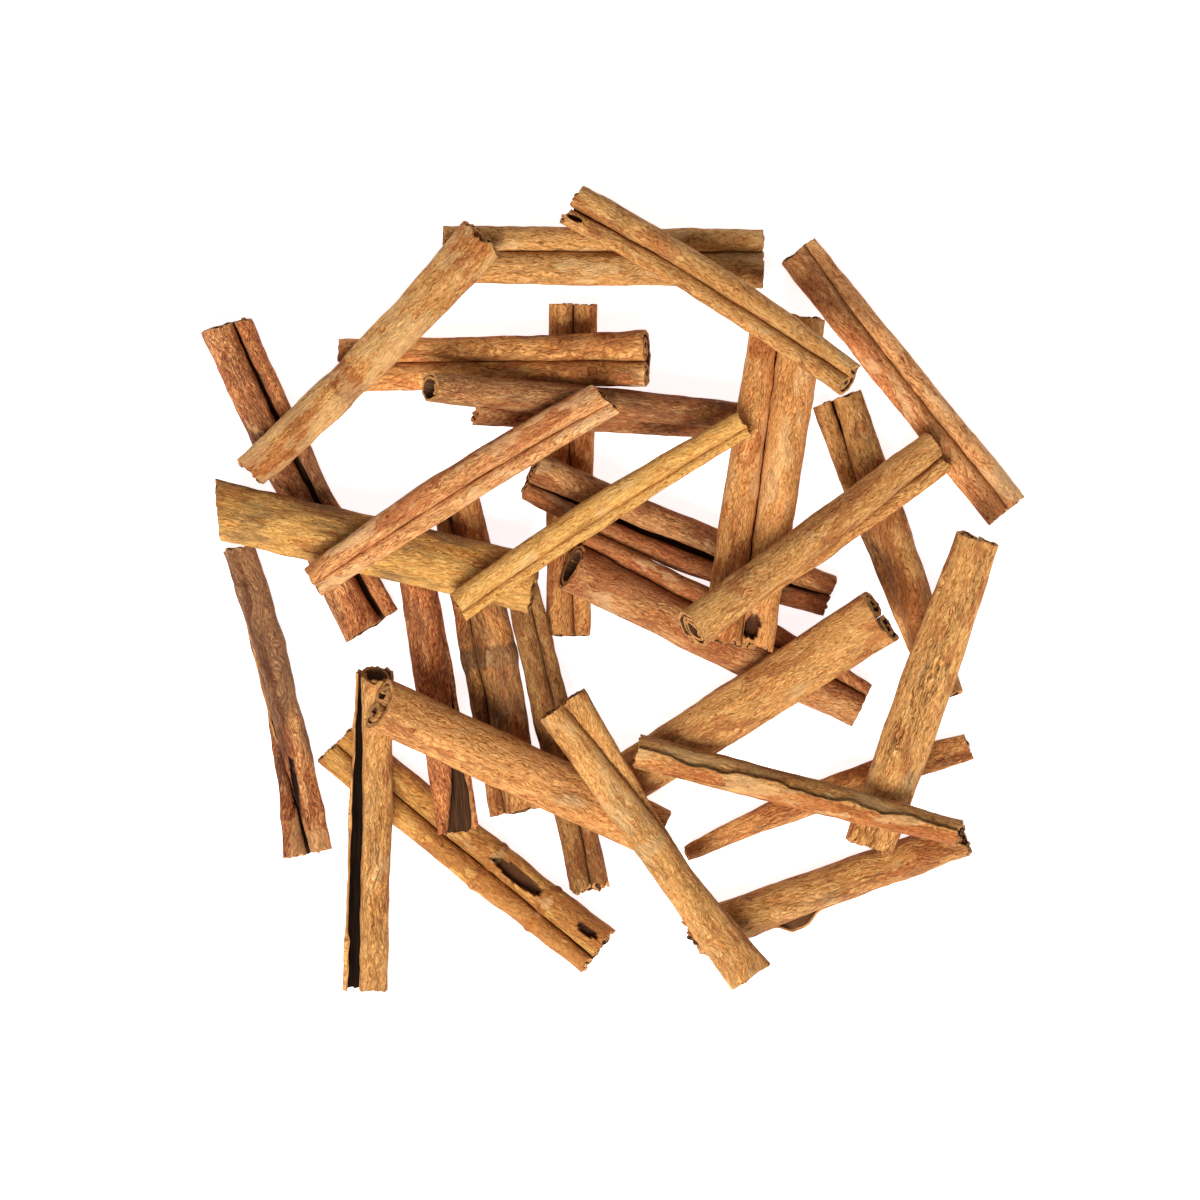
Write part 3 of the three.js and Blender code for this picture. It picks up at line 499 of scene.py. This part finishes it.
def single_curl(tree, given, share, column, wobble, pitch):
    """Centre, radius, angle, distance across the sheet and half width, for one roll, its edge on top."""
    width, = station_value(tree, [given["left"]], share)
    mean = mean_radius(tree, width, given["wall"], wobble[0])
    curl = roll_turns(tree, mean, given["wall"], pitch, given["curl"])
    inward = add(tree, MATH, add(tree, RANGE, column, 0, SHEET_FACES, 1, 0), SINGLE_EASE, operation="POWER")
    whole = add(tree, MATH, inward, curl, operation="MULTIPLY")
    # The outer edge is torn, so it wanders along the stick, and takes the bark near it along.
    loose = add(tree, RANGE, whole, 0, LOOSE_TURNS, 1, 0)
    wander = add(tree, MATH, add(tree, MATH, wobble[2], given["seam"], operation="MULTIPLY"), mean,
                 operation="DIVIDE")
    turns = add(tree, MATH, loose, wander, whole, operation="MULTIPLY_ADD")
    _, peel_lift = band(tree, given, share, "peel")
    ragged = add(tree, MATH, wobble[2], PEEL_WANDER, 1, operation="MULTIPLY_ADD")
    lift = add(tree, MATH, add(tree, MATH, peel_lift, ragged, operation="MULTIPLY"),
               add(tree, MATH, loose, 2, operation="POWER"), operation="MULTIPLY")
    radius = add(tree, MATH, roll_radius(tree, mean, pitch, turns), lift, operation="ADD")
    angle = add(tree, MATH, turns, 2 * math.pi, math.pi / 2, operation="MULTIPLY_ADD")
    across = add(tree, MATH, turns, add(tree, MATH, mean, -2 * math.pi, operation="MULTIPLY"),
                 operation="MULTIPLY")
    at = add(tree, "ShaderNodeCombineXYZ", 0.0, SINGLE_OFFSET, -SINGLE_OFFSET)
    half = add(tree, MATH, pitch, START_SAG, mean, operation="MULTIPLY_ADD")
    return at, radius, angle, across, half


def between(tree, share, pair):
    """The first of a pair in the first half of a stick, and the second in the other half."""
    return add(tree, RANGE, share, *HALF_WAY, pair[0], pair[1])


def hole_fields(tree, given, along, y, z, ragged):
    """How far each point sinks in the holes, how much it is in a hole, and how much painted shade darkens it.
    """
    sunk, inside, shaded = 0.0, 0.0, 0.0
    upper = add(tree, RANGE, z, *HOLE_TOP, 0, 1)
    for name in ("hole", "hole2"):
        place, left, depth = split(tree, given[name])
        half_length, half_width, shade = split(tree, given[name + "_size"])
        middle = add(tree, MATH, add(tree, MATH, place, 0.5, operation="SUBTRACT"), given["Length"],
                     operation="MULTIPLY")
        parts = [add(tree, MATH, add(tree, MATH, add(tree, MATH, where, centre, operation="SUBTRACT"), size,
                                     operation="DIVIDE"), 2, operation="POWER")
                 for where, centre, size in ((along, middle, half_length), (y, left, half_width))]
        far = add(tree, MATH, add(tree, MATH, *parts, operation="ADD"), ragged, operation="ADD")
        cover = add(tree, MATH, add(tree, RANGE, far, *HOLE_EDGE, 1, 0), upper, operation="MULTIPLY")
        sunk = add(tree, MATH, cover, depth, sunk, operation="MULTIPLY_ADD")
        is_real = add(tree, MATH, depth, 0, operation="GREATER_THAN")
        cover = add(tree, MATH, cover, is_real, operation="MULTIPLY")
        inside = add(tree, MATH, inside, cover, operation="ADD")
        shaded = add(tree, MATH, cover, shade, shaded, operation="MULTIPLY_ADD")
    return sunk, inside, shaded


def wobble_fields(tree, given, along):
    """Slow changes along the stick, of the two rolls' radii and of the long edge of a single curl."""
    down_stick = add(tree, "ShaderNodeCombineXYZ", along, 0.0, given["Seed"])
    reach = add(tree, MATH, given["uneven"], WOBBLE, operation="MULTIPLY")
    rolls = [add(tree, MATH, add(tree, MATH, part, 0.5, operation="SUBTRACT"), reach, operation="MULTIPLY")
             for part in split(tree, scaled_noise(tree, down_stick, WOBBLE_NOISE, "Color"))[:2]]
    seam = add(tree, MATH, scaled_noise(tree, down_stick, SEAM_NOISE), 0.5, operation="SUBTRACT")
    return [*rolls, seam]


def curl_fields(tree, given, share, column, wobble):
    """Centre, radius, angle, distance across the sheet and half width, for either kind of stick."""
    pitch = add(tree, MATH, given["wall"], PITCH / WALL, operation="MULTIPLY")
    double = double_curl(tree, given, share, column, wobble, pitch)
    single = single_curl(tree, given, share, column, wobble, pitch)
    kinds = ("VECTOR", "FLOAT", "FLOAT", "FLOAT", "FLOAT")
    return [add(tree, SWITCH, given["single"], two, one, input_type=kind)
            for two, one, kind in zip(double, single, kinds)]


def ring_fields(tree, given, share, ragged):
    """How much of the rings' marks each point has, and how high the rings are there."""
    covers, lift = [], 0.0
    for name in ("ring", "ring2"):
        far, height = band(tree, given, share, name)
        covers.append(band_marks(tree, given, name, far, ragged))
        lift = add(tree, MATH, lift, height, operation="ADD")
    return add(tree, MATH, *covers, operation="MAXIMUM"), lift


def section_fields(tree, given, share, sheet, layer, bulge, lift, half_wall, centre, radius, angle):
    """Where each point of the section is, to the left and up, once it is turned and squashed."""
    # Lumps and rings of the whole sheet, low ridges on its outside, and its thickness, with round long edges.
    lump = scaled_noise(tree, sheet, LUMP_NOISE)
    lifted = add(tree, MATH, add(tree, MATH, lump, LUMPS, -LUMPS / 2, operation="MULTIPLY_ADD"), lift,
                 operation="ADD")
    ridge = scaled_noise(tree, sheet, RIDGE_NOISE)
    raised = add(tree, MATH, ridge, RIDGES, -RIDGES / 2, operation="MULTIPLY_ADD")
    outside = add(tree, MATH, layer, 0.5, 0.5, operation="MULTIPLY_ADD")
    thick = add(tree, MATH, layer, half_wall, lifted, operation="MULTIPLY_ADD")
    distance = add(tree, MATH, radius, add(tree, MATH, raised, outside, thick, operation="MULTIPLY_ADD"),
                   operation="ADD")
    bulged = add(tree, MATH, bulge, half_wall, operation="MULTIPLY")
    beyond = add(tree, MATH, bulged, radius, operation="DIVIDE")
    direction = add(tree, MATH, angle, beyond, operation="SUBTRACT")
    out_y = add(tree, MATH, add(tree, MATH, direction, operation="COSINE"), distance, operation="MULTIPLY")
    out_z = add(tree, MATH, add(tree, MATH, direction, operation="SINE"), distance, operation="MULTIPLY")
    section = add(tree, VECTOR, centre, add(tree, "ShaderNodeCombineXYZ", 0.0, out_y, out_z), operation="ADD")

    turn_start, turn_end, _ = split(tree, given["turn"])
    turn = add(tree, RANGE, share, 0, 1, turn_start, turn_end)
    radians = add(tree, MATH, turn, -math.pi / 180, operation="MULTIPLY")
    turned = add(tree, "ShaderNodeVectorRotate", rotation_type="X_AXIS",
                 into={"Vector": section, "Angle": radians})
    _, y, z = split(tree, turned)
    return y, add(tree, MATH, z, given["squash"], operation="MULTIPLY")


def end_fields(tree, given, share, along, across, side_share, height_share):
    """How far along the stick each point is, with slanted, leaning and torn ends."""
    slant_start, slant_end, _ = split(tree, given["slant"])
    at_start = add(tree, RANGE, share, 0, SLANT_SHARE, -0.5, 0)
    at_end = add(tree, RANGE, share, 1 - SLANT_SHARE, 1, 0, 0.5)
    slant = add(tree, MATH, at_end, slant_end, add(tree, MATH, at_start, slant_start, operation="MULTIPLY"),
                operation="MULTIPLY_ADD")
    slanted = add(tree, MATH, slant, side_share, along, operation="MULTIPLY_ADD")

    half_length = add(tree, MATH, given["Length"], 0.5, operation="MULTIPLY")
    from_middle = add(tree, MATH, along, operation="ABSOLUTE")
    from_end = add(tree, MATH, half_length, from_middle, operation="SUBTRACT")
    whichever = add(tree, MATH, along, operation="SIGN")
    lean = add(tree, MATH, add(tree, RANGE, from_end, 0, LEAN_REACH, 1, 0),
               between(tree, share, split(tree, given["lean"])), operation="MULTIPLY")
    set_back = add(tree, MATH, add(tree, MATH, lean, height_share, operation="MULTIPLY"), whichever,
                   operation="MULTIPLY")

    torn_place = add(tree, "ShaderNodeCombineXYZ",
                     add(tree, MATH, whichever, ENDS_APART, operation="MULTIPLY"), across, given["Seed"])
    broad, fine = [scaled_noise(tree, torn_place, scale) for scale in TEAR_NOISES]
    torn = add(tree, MATH, fine, FINE_TEAR, broad, operation="MULTIPLY_ADD")
    depth = add(tree, MATH, add(tree, RANGE, from_end, 0, TEAR_REACH, TEAR_GAIN, 0),
                between(tree, share, split(tree, given["tear"])), operation="MULTIPLY")
    uneven = add(tree, MATH, torn, TEAR_MEAN, operation="SUBTRACT")
    tear = add(tree, MATH, uneven, depth, operation="MULTIPLY")
    return add(tree, MATH, add(tree, MATH, slanted, set_back, operation="SUBTRACT"), tear, operation="ADD")


def mark_fields(tree, given, share, side_share, on_ring, in_hole, shaded):
    """What the materials read: how much of each mark there is, and how light the two faces are, with painted
    shade on one side and in holes, and painted light and shade on the inner face.
    """
    red, cream, dark = station_value(tree, [given["red"], given["cream"], given["dark"]], share)
    sided = add(tree, RANGE, side_share, -SIDE_BLEND, SIDE_BLEND, -0.5, 0.5)
    side_red, side_painted_shade, _ = split(tree, given["side"])
    ring_red, ring_cream, ring_dark = split(tree, given["ring_marks"])
    red = add(tree, MATH, sided, side_red, red, operation="MULTIPLY_ADD")
    red = add(tree, MATH, on_ring, ring_red, red, operation="MULTIPLY_ADD")
    red = add(tree, MATH, in_hole, HOLE_RED, red, operation="MULTIPLY_ADD")
    cream = add(tree, MATH, on_ring, ring_cream, cream, operation="MULTIPLY_ADD")
    dark = add(tree, MATH, on_ring, ring_dark, dark, operation="MULTIPLY_ADD")
    # Holes get dark stain beyond the stick's own, partly painted shade.
    dark = add(tree, MATH, in_hole, HOLE_STAIN_AND_SHADE, dark, operation="MULTIPLY_ADD")
    # Painted shade: one side of the stick, and the holes, are made darker.
    darker = add(tree, MATH, sided, side_painted_shade, shaded, operation="MULTIPLY_ADD")
    lighter = add(tree, MATH, 1, darker, operation="SUBTRACT")
    tone = add(tree, MATH, given["tone"], lighter, operation="MULTIPLY")
    marks = add(tree, "ShaderNodeCombineXYZ", red, cream, given["cracks"])
    shading = add(tree, "ShaderNodeCombineXYZ", dark, tone, given["swirl"])
    # Painted light and shade of the inner face: lighter near the start, and on some sticks dark deep in the
    # slit.
    inner = add(tree, RANGE, share, 0, LIT_SHARE, *split(tree, given["inner"])[:2])
    return marks, shading, inner


def dressed_grid(tree, given, place, attributes):
    """The grid as a closed sheet in its place, with its attributes and its three materials."""
    mesh = add(tree, "GeometryNodeMeshGrid", 1.0, 1.0, LOOP_FACES + 1, ROW_FACES + 1)
    for name, kind, value in attributes:
        mesh = add(tree, "GeometryNodeStoreNamedAttribute", data_type=kind, domain="POINT",
                   into={"Geometry": mesh, "Name": name, "Value": value})
    mesh = add(tree, "GeometryNodeSetPosition", mesh, into={"Position": place})
    mesh = add(tree, "GeometryNodeMergeByDistance", mesh, into={"Distance": SAME_PLACE})
    mesh = add(tree, "GeometryNodeFlipFaces", mesh)
    mesh = add(tree, "GeometryNodeSetShadeSmooth", mesh, domain="FACE", into={"Shade Smooth": True})
    sharp = add(tree, MATH, add(tree, "GeometryNodeInputMeshEdgeAngle"), SHARP_TURN, operation="GREATER_THAN")
    mesh = add(tree, "GeometryNodeSetShadeSmooth", mesh, sharp, domain="EDGE", into={"Shade Smooth": False})
    mesh = add(tree, "GeometryNodeTransform", mesh, into={"Scale": (MM, MM, MM)})
    mesh = add(tree, "GeometryNodeRealizeInstances", mesh)
    mesh = add(tree, "GeometryNodeSetMaterial", mesh, into={"Material": given["Bark"]})
    layer = add(tree, "GeometryNodeInputNamedAttribute", "layer", data_type="FLOAT")
    inside = add(tree, MATH, layer, -FACE_LAYER, operation="LESS_THAN")
    mesh = add(tree, "GeometryNodeSetMaterial", mesh, inside, given["Inside"])
    cut = add(tree, MATH, add(tree, MATH, layer, operation="ABSOLUTE"), FACE_LAYER, operation="LESS_THAN")
    return add(tree, "GeometryNodeSetMaterial", mesh, cut, given["Cut"])


QUILL_INPUTS = [("Length", "Float"), ("Seed", "Float"), ("Bark", "Material"), ("Inside", "Material"),
                ("Cut", "Material")]


def quill_tree():
    """One stick about its own middle: x along it, y to the left and z up."""
    tree = bpy.data.node_groups.new("quill", "GeometryNodeTree")
    tree.interface.new_socket(name="Geometry", in_out="OUTPUT", socket_type="NodeSocketGeometry")
    kinds = {tuple: "Vector", float: "Float", bool: "Bool"}
    for name, kind in QUILL_INPUTS + [(name, kinds[type(value)]) for name, value in USUAL.items()]:
        tree.interface.new_socket(name=name, in_out="INPUT", socket_type="NodeSocket" + kind)
    given = tree.nodes.new("NodeGroupInput").outputs

    share, column, layer, bulge = sheet_fields(tree)
    centred = add(tree, MATH, share, 0.5, operation="SUBTRACT")
    along = add(tree, MATH, centred, given["Length"], operation="MULTIPLY")
    wobble = wobble_fields(tree, given, along)
    centre, radius, angle, across, half = curl_fields(tree, given, share, column, wobble)
    sheet = add(tree, "ShaderNodeCombineXYZ", along, across, given["Seed"])
    ragged = add(tree, RANGE, scaled_noise(tree, sheet, RAGGED_NOISE), 0, 1, -RAGGED, RAGGED)
    on_ring, lift = ring_fields(tree, given, share, ragged)
    half_wall = add(tree, MATH, given["wall"], 0.5, operation="MULTIPLY")
    y, z = section_fields(tree, given, share, sheet, layer, bulge, lift, half_wall, centre, radius, angle)
    side_share = add(tree, MATH, y, add(tree, MATH, half, half_wall, operation="ADD"), operation="DIVIDE")
    height_share = add(tree, RANGE, add(tree, MATH, z, half, operation="DIVIDE"), -1, 1, 0, 1)
    x = end_fields(tree, given, share, along, across, side_share, height_share)
    sunk, in_hole, shaded = hole_fields(tree, given, along, y, z, ragged)
    # The bow is a parabola, 1 in the middle of the stick and 0 at its ends.
    squared = add(tree, MATH, centred, 2, operation="POWER")
    parabola = add(tree, MATH, squared, -4, 1, operation="MULTIPLY_ADD")
    bowed = add(tree, MATH, parabola, given["bow"], y, operation="MULTIPLY_ADD")
    place = add(tree, "ShaderNodeCombineXYZ", x, bowed, add(tree, MATH, z, sunk, operation="SUBTRACT"))

    marks, shading, inner = mark_fields(tree, given, share, side_share, on_ring, in_hole, shaded)
    mesh = dressed_grid(tree, given, place, [
        ("sheet", "FLOAT_VECTOR", sheet), ("marks", "FLOAT_VECTOR", marks),
        ("shading", "FLOAT_VECTOR", shading), ("inner", "FLOAT", inner), ("layer", "FLOAT", layer)])
    tree.links.new(mesh, tree.nodes.new("NodeGroupOutput").inputs[0])
    return tree


# --- Materials ---

def new_material(name):
    """An empty material, and the shader that its surface ends in."""
    material = bpy.data.materials.new(name)
    material.use_nodes = True
    tree = material.node_tree
    tree.nodes.clear()
    surface = tree.nodes.new("ShaderNodeBsdfPrincipled")
    output = tree.nodes.new("ShaderNodeOutputMaterial")
    tree.links.new(surface.outputs[0], output.inputs["Surface"])
    return material, tree, surface


def ramp_of(tree, value, stops):
    """Colours along a value, from pairs of a position and an sRGB hex number."""
    ramp = add(tree, "ShaderNodeValToRGB", value)
    elements = ramp.node.color_ramp.elements
    elements[0].position, elements[0].color = stops[0][0], linear(stops[0][1])
    elements[1].position, elements[1].color = stops[-1][0], linear(stops[-1][1])
    for position, code in stops[1:-1]:
        elements.new(position).color = linear(code)
    return ramp


def thin_lines(tree, place, scale, thickness, breaks):
    """Thin wavy lines along the stick, broken where another noise is low: 1 on the inner third of a line and
    0 beside it."""
    noise = scaled_noise(tree, place, scale)
    off = add(tree, MATH, add(tree, MATH, noise, 0.5, operation="SUBTRACT"), operation="ABSOLUTE")
    line = add(tree, RANGE, off, thickness / 3, thickness, 1, 0)
    return add(tree, MATH, line, add(tree, RANGE, breaks, *LINE_BREAKS, 0, 1), operation="MULTIPLY")


def weighted(tree, values, shares):
    """The sum of some values, each times its share."""
    total = 0.0
    for value, share in zip(values, shares):
        total = add(tree, MATH, value, share, total, operation="MULTIPLY_ADD")
    return total


def swayed(tree, sheet, swirl):
    """The place on the sheet, moved so that the fibres wander sideways, by more where the bark swirls."""
    slow = split(tree, scaled_noise(tree, sheet, SWAY_NOISE, "Color"))[1]
    sway = add(tree, MATH, swirl, SWAY[1], SWAY[0], operation="MULTIPLY_ADD")
    aside = add(tree, MATH, add(tree, MATH, slow, 0.5, operation="SUBTRACT"), sway, operation="MULTIPLY")
    crinkle = scaled_noise(tree, sheet, CRINKLE_NOISE)
    aside = add(tree, MATH, crinkle, CRINKLE, aside, operation="MULTIPLY_ADD")
    return add(tree, VECTOR, sheet, add(tree, "ShaderNodeCombineXYZ", 0.0, aside, 0.0), operation="ADD")


def with_marks(tree, colour, marks):
    """A colour with marks laid on it. Each mark is a noise, its amount, how soft its edge is, how much it
    covers at most, and how it is laid on in which colour. It starts where its noise passes a level that falls
    as there is more of it."""
    for noise, amount, soft, most, blend, code in marks:
        low = add(tree, MATH, amount, MARK_LEVELS[1], MARK_LEVELS[0], operation="MULTIPLY_ADD")
        cover = add(tree, RANGE, noise, low, add(tree, MATH, low, soft, operation="ADD"), 0, most)
        colour = add(tree, "ShaderNodeMix", data_type="RGBA", out=2, blend_type=blend,
                     into={0: cover, 6: colour, 7: linear(code)})
    return colour


def bark_outside(name, dark, mid, light, cream):
    """Cassia bark, scraped and sun-dried: a dry matt skin with a fine felt of short wavy fibres along the
    stick, red-brown flakes of the deeper layer, pale scuffs, thin cracks, and dark specks and stains."""
    material, tree, surface = new_material(name)
    sheet, marks, shading = [add(tree, "ShaderNodeAttribute", attribute_name=attribute, out="Vector")
                             for attribute in ("sheet", "marks", "shading")]
    red_amount, cream_amount, crack_amount = split(tree, marks)
    stain_amount, tone, swirl = split(tree, shading)

    bent = swayed(tree, sheet, swirl)
    grain = scaled_noise(tree, bent, GRAIN_NOISE)
    streaks = scaled_noise(tree, bent, STREAK_NOISE)
    clouds = split(tree, scaled_noise(tree, sheet, CLOUD_NOISE, "Color"))
    patches = split(tree, scaled_noise(tree, bent, PATCH_NOISE, "Color"))
    specks = add(tree, RANGE, scaled_noise(tree, sheet, SPECK_NOISE), *SPECK_LEVELS, 0, 1)
    dashes = thin_lines(tree, bent, DASH_NOISE, LINE_WIDTHS[0], patches[2])
    dash_amount = add(tree, MATH, crack_amount, DASHES[1], DASHES[0], operation="MULTIPLY_ADD")
    dashes = add(tree, MATH, dashes, dash_amount, operation="MULTIPLY")
    cracks = thin_lines(tree, bent, CRACK_NOISE, LINE_WIDTHS[1], clouds[2])
    cracks = add(tree, MATH, cracks, crack_amount, operation="MULTIPLY")

    body = weighted(tree, (grain, streaks, clouds[0]), BODY_SHARES)
    colour = with_marks(tree, ramp_of(tree, body, list(zip(BODY_STOPS, (dark, mid, light)))), [
        (clouds[2], red_amount, *BLUSH), (clouds[1], stain_amount, *STAIN),
        (patches[0], red_amount, *FLAKE), (patches[1], cream_amount, *SCUFF, cream)])
    # Dashes, cracks and specks are the same colour made darker.
    for cover, depth in zip((dashes, cracks, specks), MARK_DEPTHS):
        kept = add(tree, MATH, cover, -depth, 1.0, operation="MULTIPLY_ADD")
        tone = add(tree, MATH, tone, kept, operation="MULTIPLY")
    # The tone scales the colour; it carries the painted shade of one side and of holes.
    colour = add(tree, VECTOR, colour, into={"Scale": tone}, operation="SCALE")
    tree.links.new(colour, surface.inputs["Base Color"])
    tree.links.new(add(tree, RANGE, grain, *GRAIN_LEVELS, *BARK_ROUGHNESS), surface.inputs["Roughness"])
    surface.inputs["Specular IOR Level"].default_value = BARK_SHEEN

    height = weighted(tree, (grain, streaks, dashes, cracks), BUMP_SHARES)
    bump = add(tree, "ShaderNodeBump", into={"Strength": 1.0, "Distance": BARK_RELIEF * MM, "Height": height})
    tree.links.new(bump, surface.inputs["Normal"])
    return material


def plain_bark(name, scale, stops, roughness, bump_strength, painted_light_name=None):
    """Bark of one kind all over, with a grain of this scale, in thin layers where it is cut. The attribute of
    the given name lightens or darkens it as painted light and shade."""
    material, tree, surface = new_material(name)
    sheet = add(tree, "ShaderNodeAttribute", attribute_name="sheet", out="Vector")
    layer = add(tree, "ShaderNodeAttribute", attribute_name="layer", out="Fac")
    painted_light = 1.0
    # The inner face takes its painted light and shade from an attribute; cut edges take none.
    if painted_light_name:
        painted_light = add(tree, "ShaderNodeAttribute", attribute_name=painted_light_name, out="Fac")
    depth = add(tree, "ShaderNodeCombineXYZ", 0.0, 0.0, add(tree, MATH, layer, LAYERS, operation="MULTIPLY"))
    grain = scaled_noise(tree, add(tree, VECTOR, sheet, depth, operation="ADD"), scale)
    colour = add(tree, VECTOR, ramp_of(tree, grain, stops), into={"Scale": painted_light}, operation="SCALE")
    tree.links.new(colour, surface.inputs["Base Color"])
    surface.inputs["Roughness"].default_value = roughness
    surface.inputs["Specular IOR Level"].default_value = PLAIN_SHEEN
    bump = add(tree, "ShaderNodeBump", into={
        "Strength": bump_strength, "Distance": PLAIN_RELIEF * MM, "Height": grain})
    tree.links.new(bump, surface.inputs["Normal"])
    return material


def bark_materials():
    """The six shades of the outer face, the inner face, smooth and close-grained, with painted light and
    shade along it, and the cut edge, which shows the thin layers of the bark side by side."""
    materials = {name: bark_outside("cassia_bark_" + name, *tones) for name, tones in TONES.items()}
    materials["inside"] = plain_bark("cassia_bark_inside", INSIDE_NOISE, INSIDE_STOPS, roughness=0.8,
                                     bump_strength=0.4, painted_light_name="inner")
    materials["cut"] = plain_bark("cassia_bark_cut", CUT_NOISE, CUT_STOPS, roughness=0.9, bump_strength=0.6)
    return materials


# --- The pieces ---

def link(obj):
    """Puts an object into the scene."""
    bpy.context.scene.collection.objects.link(obj)
    return obj


def quill_mesh(stick, tree, materials):
    """One stick as a plain mesh about its own middle."""
    values = {
        "Length": math.dist(stick["start"], stick["end"]), "Seed": SEED_STEP * int(stick["number"]),
        "Bark": materials[stick["bark"]], "Inside": materials["inside"], "Cut": materials["cut"],
    }
    values |= {name: stick.get(name, usual) for name, usual in USUAL.items()}
    maker = link(bpy.data.objects.new("maker", bpy.data.meshes.new("maker")))
    modifier = maker.modifiers.new("quill", "NODES")
    modifier.node_group = tree
    for item in tree.interface.items_tree:
        if item.in_out == "INPUT":
            value = values[item.name]
            if item.socket_type == "NodeSocketFloat":
                value = float(value)
            elif item.socket_type == "NodeSocketVector":
                value = [float(part) for part in (*value, 0)[:3]]
            modifier[item.identifier] = value
    depsgraph = bpy.context.evaluated_depsgraph_get()
    mesh = bpy.data.meshes.new_from_object(maker.evaluated_get(depsgraph))
    bpy.data.objects.remove(maker)
    return mesh


def points(mesh):
    """The corners of a mesh, one to a row."""
    found = np.zeros(3 * len(mesh.vertices))
    mesh.vertices.foreach_get("co", found)
    return found.reshape(-1, 3)


def plan_middle(stick):
    """The middle of a stick in plan, in metres."""
    return (np.array(stick["start"]) + np.array(stick["end"])) / 2 * MM


def origin_shift():
    """How far the solids' frame is, in plan, from where the ends of the sticks are measured."""
    offsets = []
    for stick in STICKS:
        corners = points(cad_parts["stick_" + stick["number"]].data)[:, :2]
        offsets.append((corners.min(0) + corners.max(0)) / 2 - plan_middle(stick))
    return np.median(offsets, axis=0)


def end_heights(places, along, half_length):
    """Half-way heights of the two ends of a stick."""
    reach = END_REACH * MM
    ends = [places[along < reach - half_length], places[along > half_length - reach]]
    return [(end[:, 2].min() + end[:, 2].max()) / 2 for end in ends]


def lay(stick, mesh, solid, middle):
    """Gives a stick's mesh the slope and height of its solid, with its middle at this place in plan."""
    start, end = np.array(stick["start"]) * MM, np.array(stick["end"]) * MM
    length = np.linalg.norm(end - start)
    way = (end - start) / length
    corners = points(solid)
    solid_ends = end_heights(corners, (corners[:, :2] - middle) @ way, length / 2)
    own = points(mesh)
    own_ends = end_heights(own, own[:, 0], length / 2)
    slope = math.atan2(solid_ends[1] - solid_ends[0] - own_ends[1] + own_ends[0], length)
    height = sum(solid_ends) / 2 - math.cos(slope) * sum(own_ends) / 2
    # The stick keeps its length in plan, because its ends are given there.
    mesh.transform(Matrix((
        (way[0], -way[1], -math.sin(slope) * way[0], middle[0]),
        (way[1], way[0], -math.sin(slope) * way[1], middle[1]),
        (math.tan(slope), 0, math.cos(slope), height),
        (0, 0, 0, 1),
    )))
    # Nothing dips into the ground.
    for vertex in mesh.vertices:
        vertex.co.z = max(vertex.co.z, 0)


def build_sticks(shift):
    """Makes each stick and lays it where its solid is."""
    materials = bark_materials()
    tree = quill_tree()
    for stick in STICKS:
        node = "stick_" + stick["number"]
        mesh = quill_mesh(stick, tree, materials)
        lay(stick, mesh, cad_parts[node].data, plan_middle(stick) + shift)
        piece = link(bpy.data.objects.new("quill_" + stick["number"], mesh))
        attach(piece, "root")
        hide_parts(node)


# --- Floor, light and camera ---

def build_floor():
    """A white card."""
    mesh = bpy.data.meshes.new("floor")
    corners = [(x * CARD_REACH, y * CARD_REACH, 0) for x, y in ((-1, -1), (1, -1), (1, 1), (-1, 1))]
    mesh.from_pydata(corners, [], [(0, 1, 2, 3)])
    material, _, surface = new_material("white_card")
    surface.inputs["Base Color"].default_value = linear(CARD_COLOUR)
    surface.inputs["Roughness"].default_value = CARD_ROUGHNESS
    surface.inputs["Emission Color"].default_value = linear(CARD_GLOW[0])
    surface.inputs["Emission Strength"].default_value = CARD_GLOW[1]
    mesh.materials.append(material)
    link(bpy.data.objects.new("floor", mesh))


def build_light():
    """An overcast room and one softbox on the near side, so that each stick shades what lies behind it."""
    world = bpy.data.worlds.new("studio")
    bpy.context.scene.world = world
    world.use_nodes = True
    sky = world.node_tree.nodes["Background"]
    sky.inputs["Color"].default_value = (1, 1, 1, 1)
    sky.inputs["Strength"].default_value = SKY_STRENGTH
    data = bpy.data.lights.new("softbox", "AREA")
    data.shape = "SQUARE"
    data.size = SOFTBOX_SIZE
    data.energy = SOFTBOX_POWER
    light = link(bpy.data.objects.new("softbox", data))
    light.location = SOFTBOX_PLACE
    light.rotation_euler = (-light.location).to_track_quat("-Z", "Y").to_euler()


def build_camera(shift):
    """Straight above the stack."""
    data = bpy.data.cameras.new("camera")
    data.lens = data.sensor_width * CAMERA_HEIGHT / VIEW_WIDTH
    data.clip_end = 2 * CAMERA_HEIGHT
    camera = link(bpy.data.objects.new("camera", data))
    camera.location = (shift[0] + VIEW_MIDDLE[0], shift[1] + VIEW_MIDDLE[1], CAMERA_HEIGHT)
    bpy.context.scene.camera = camera
    bpy.context.scene.view_settings.view_transform = "Standard"


table_shift = origin_shift()
build_sticks(table_shift)
build_floor()
build_light()
build_camera(table_shift)
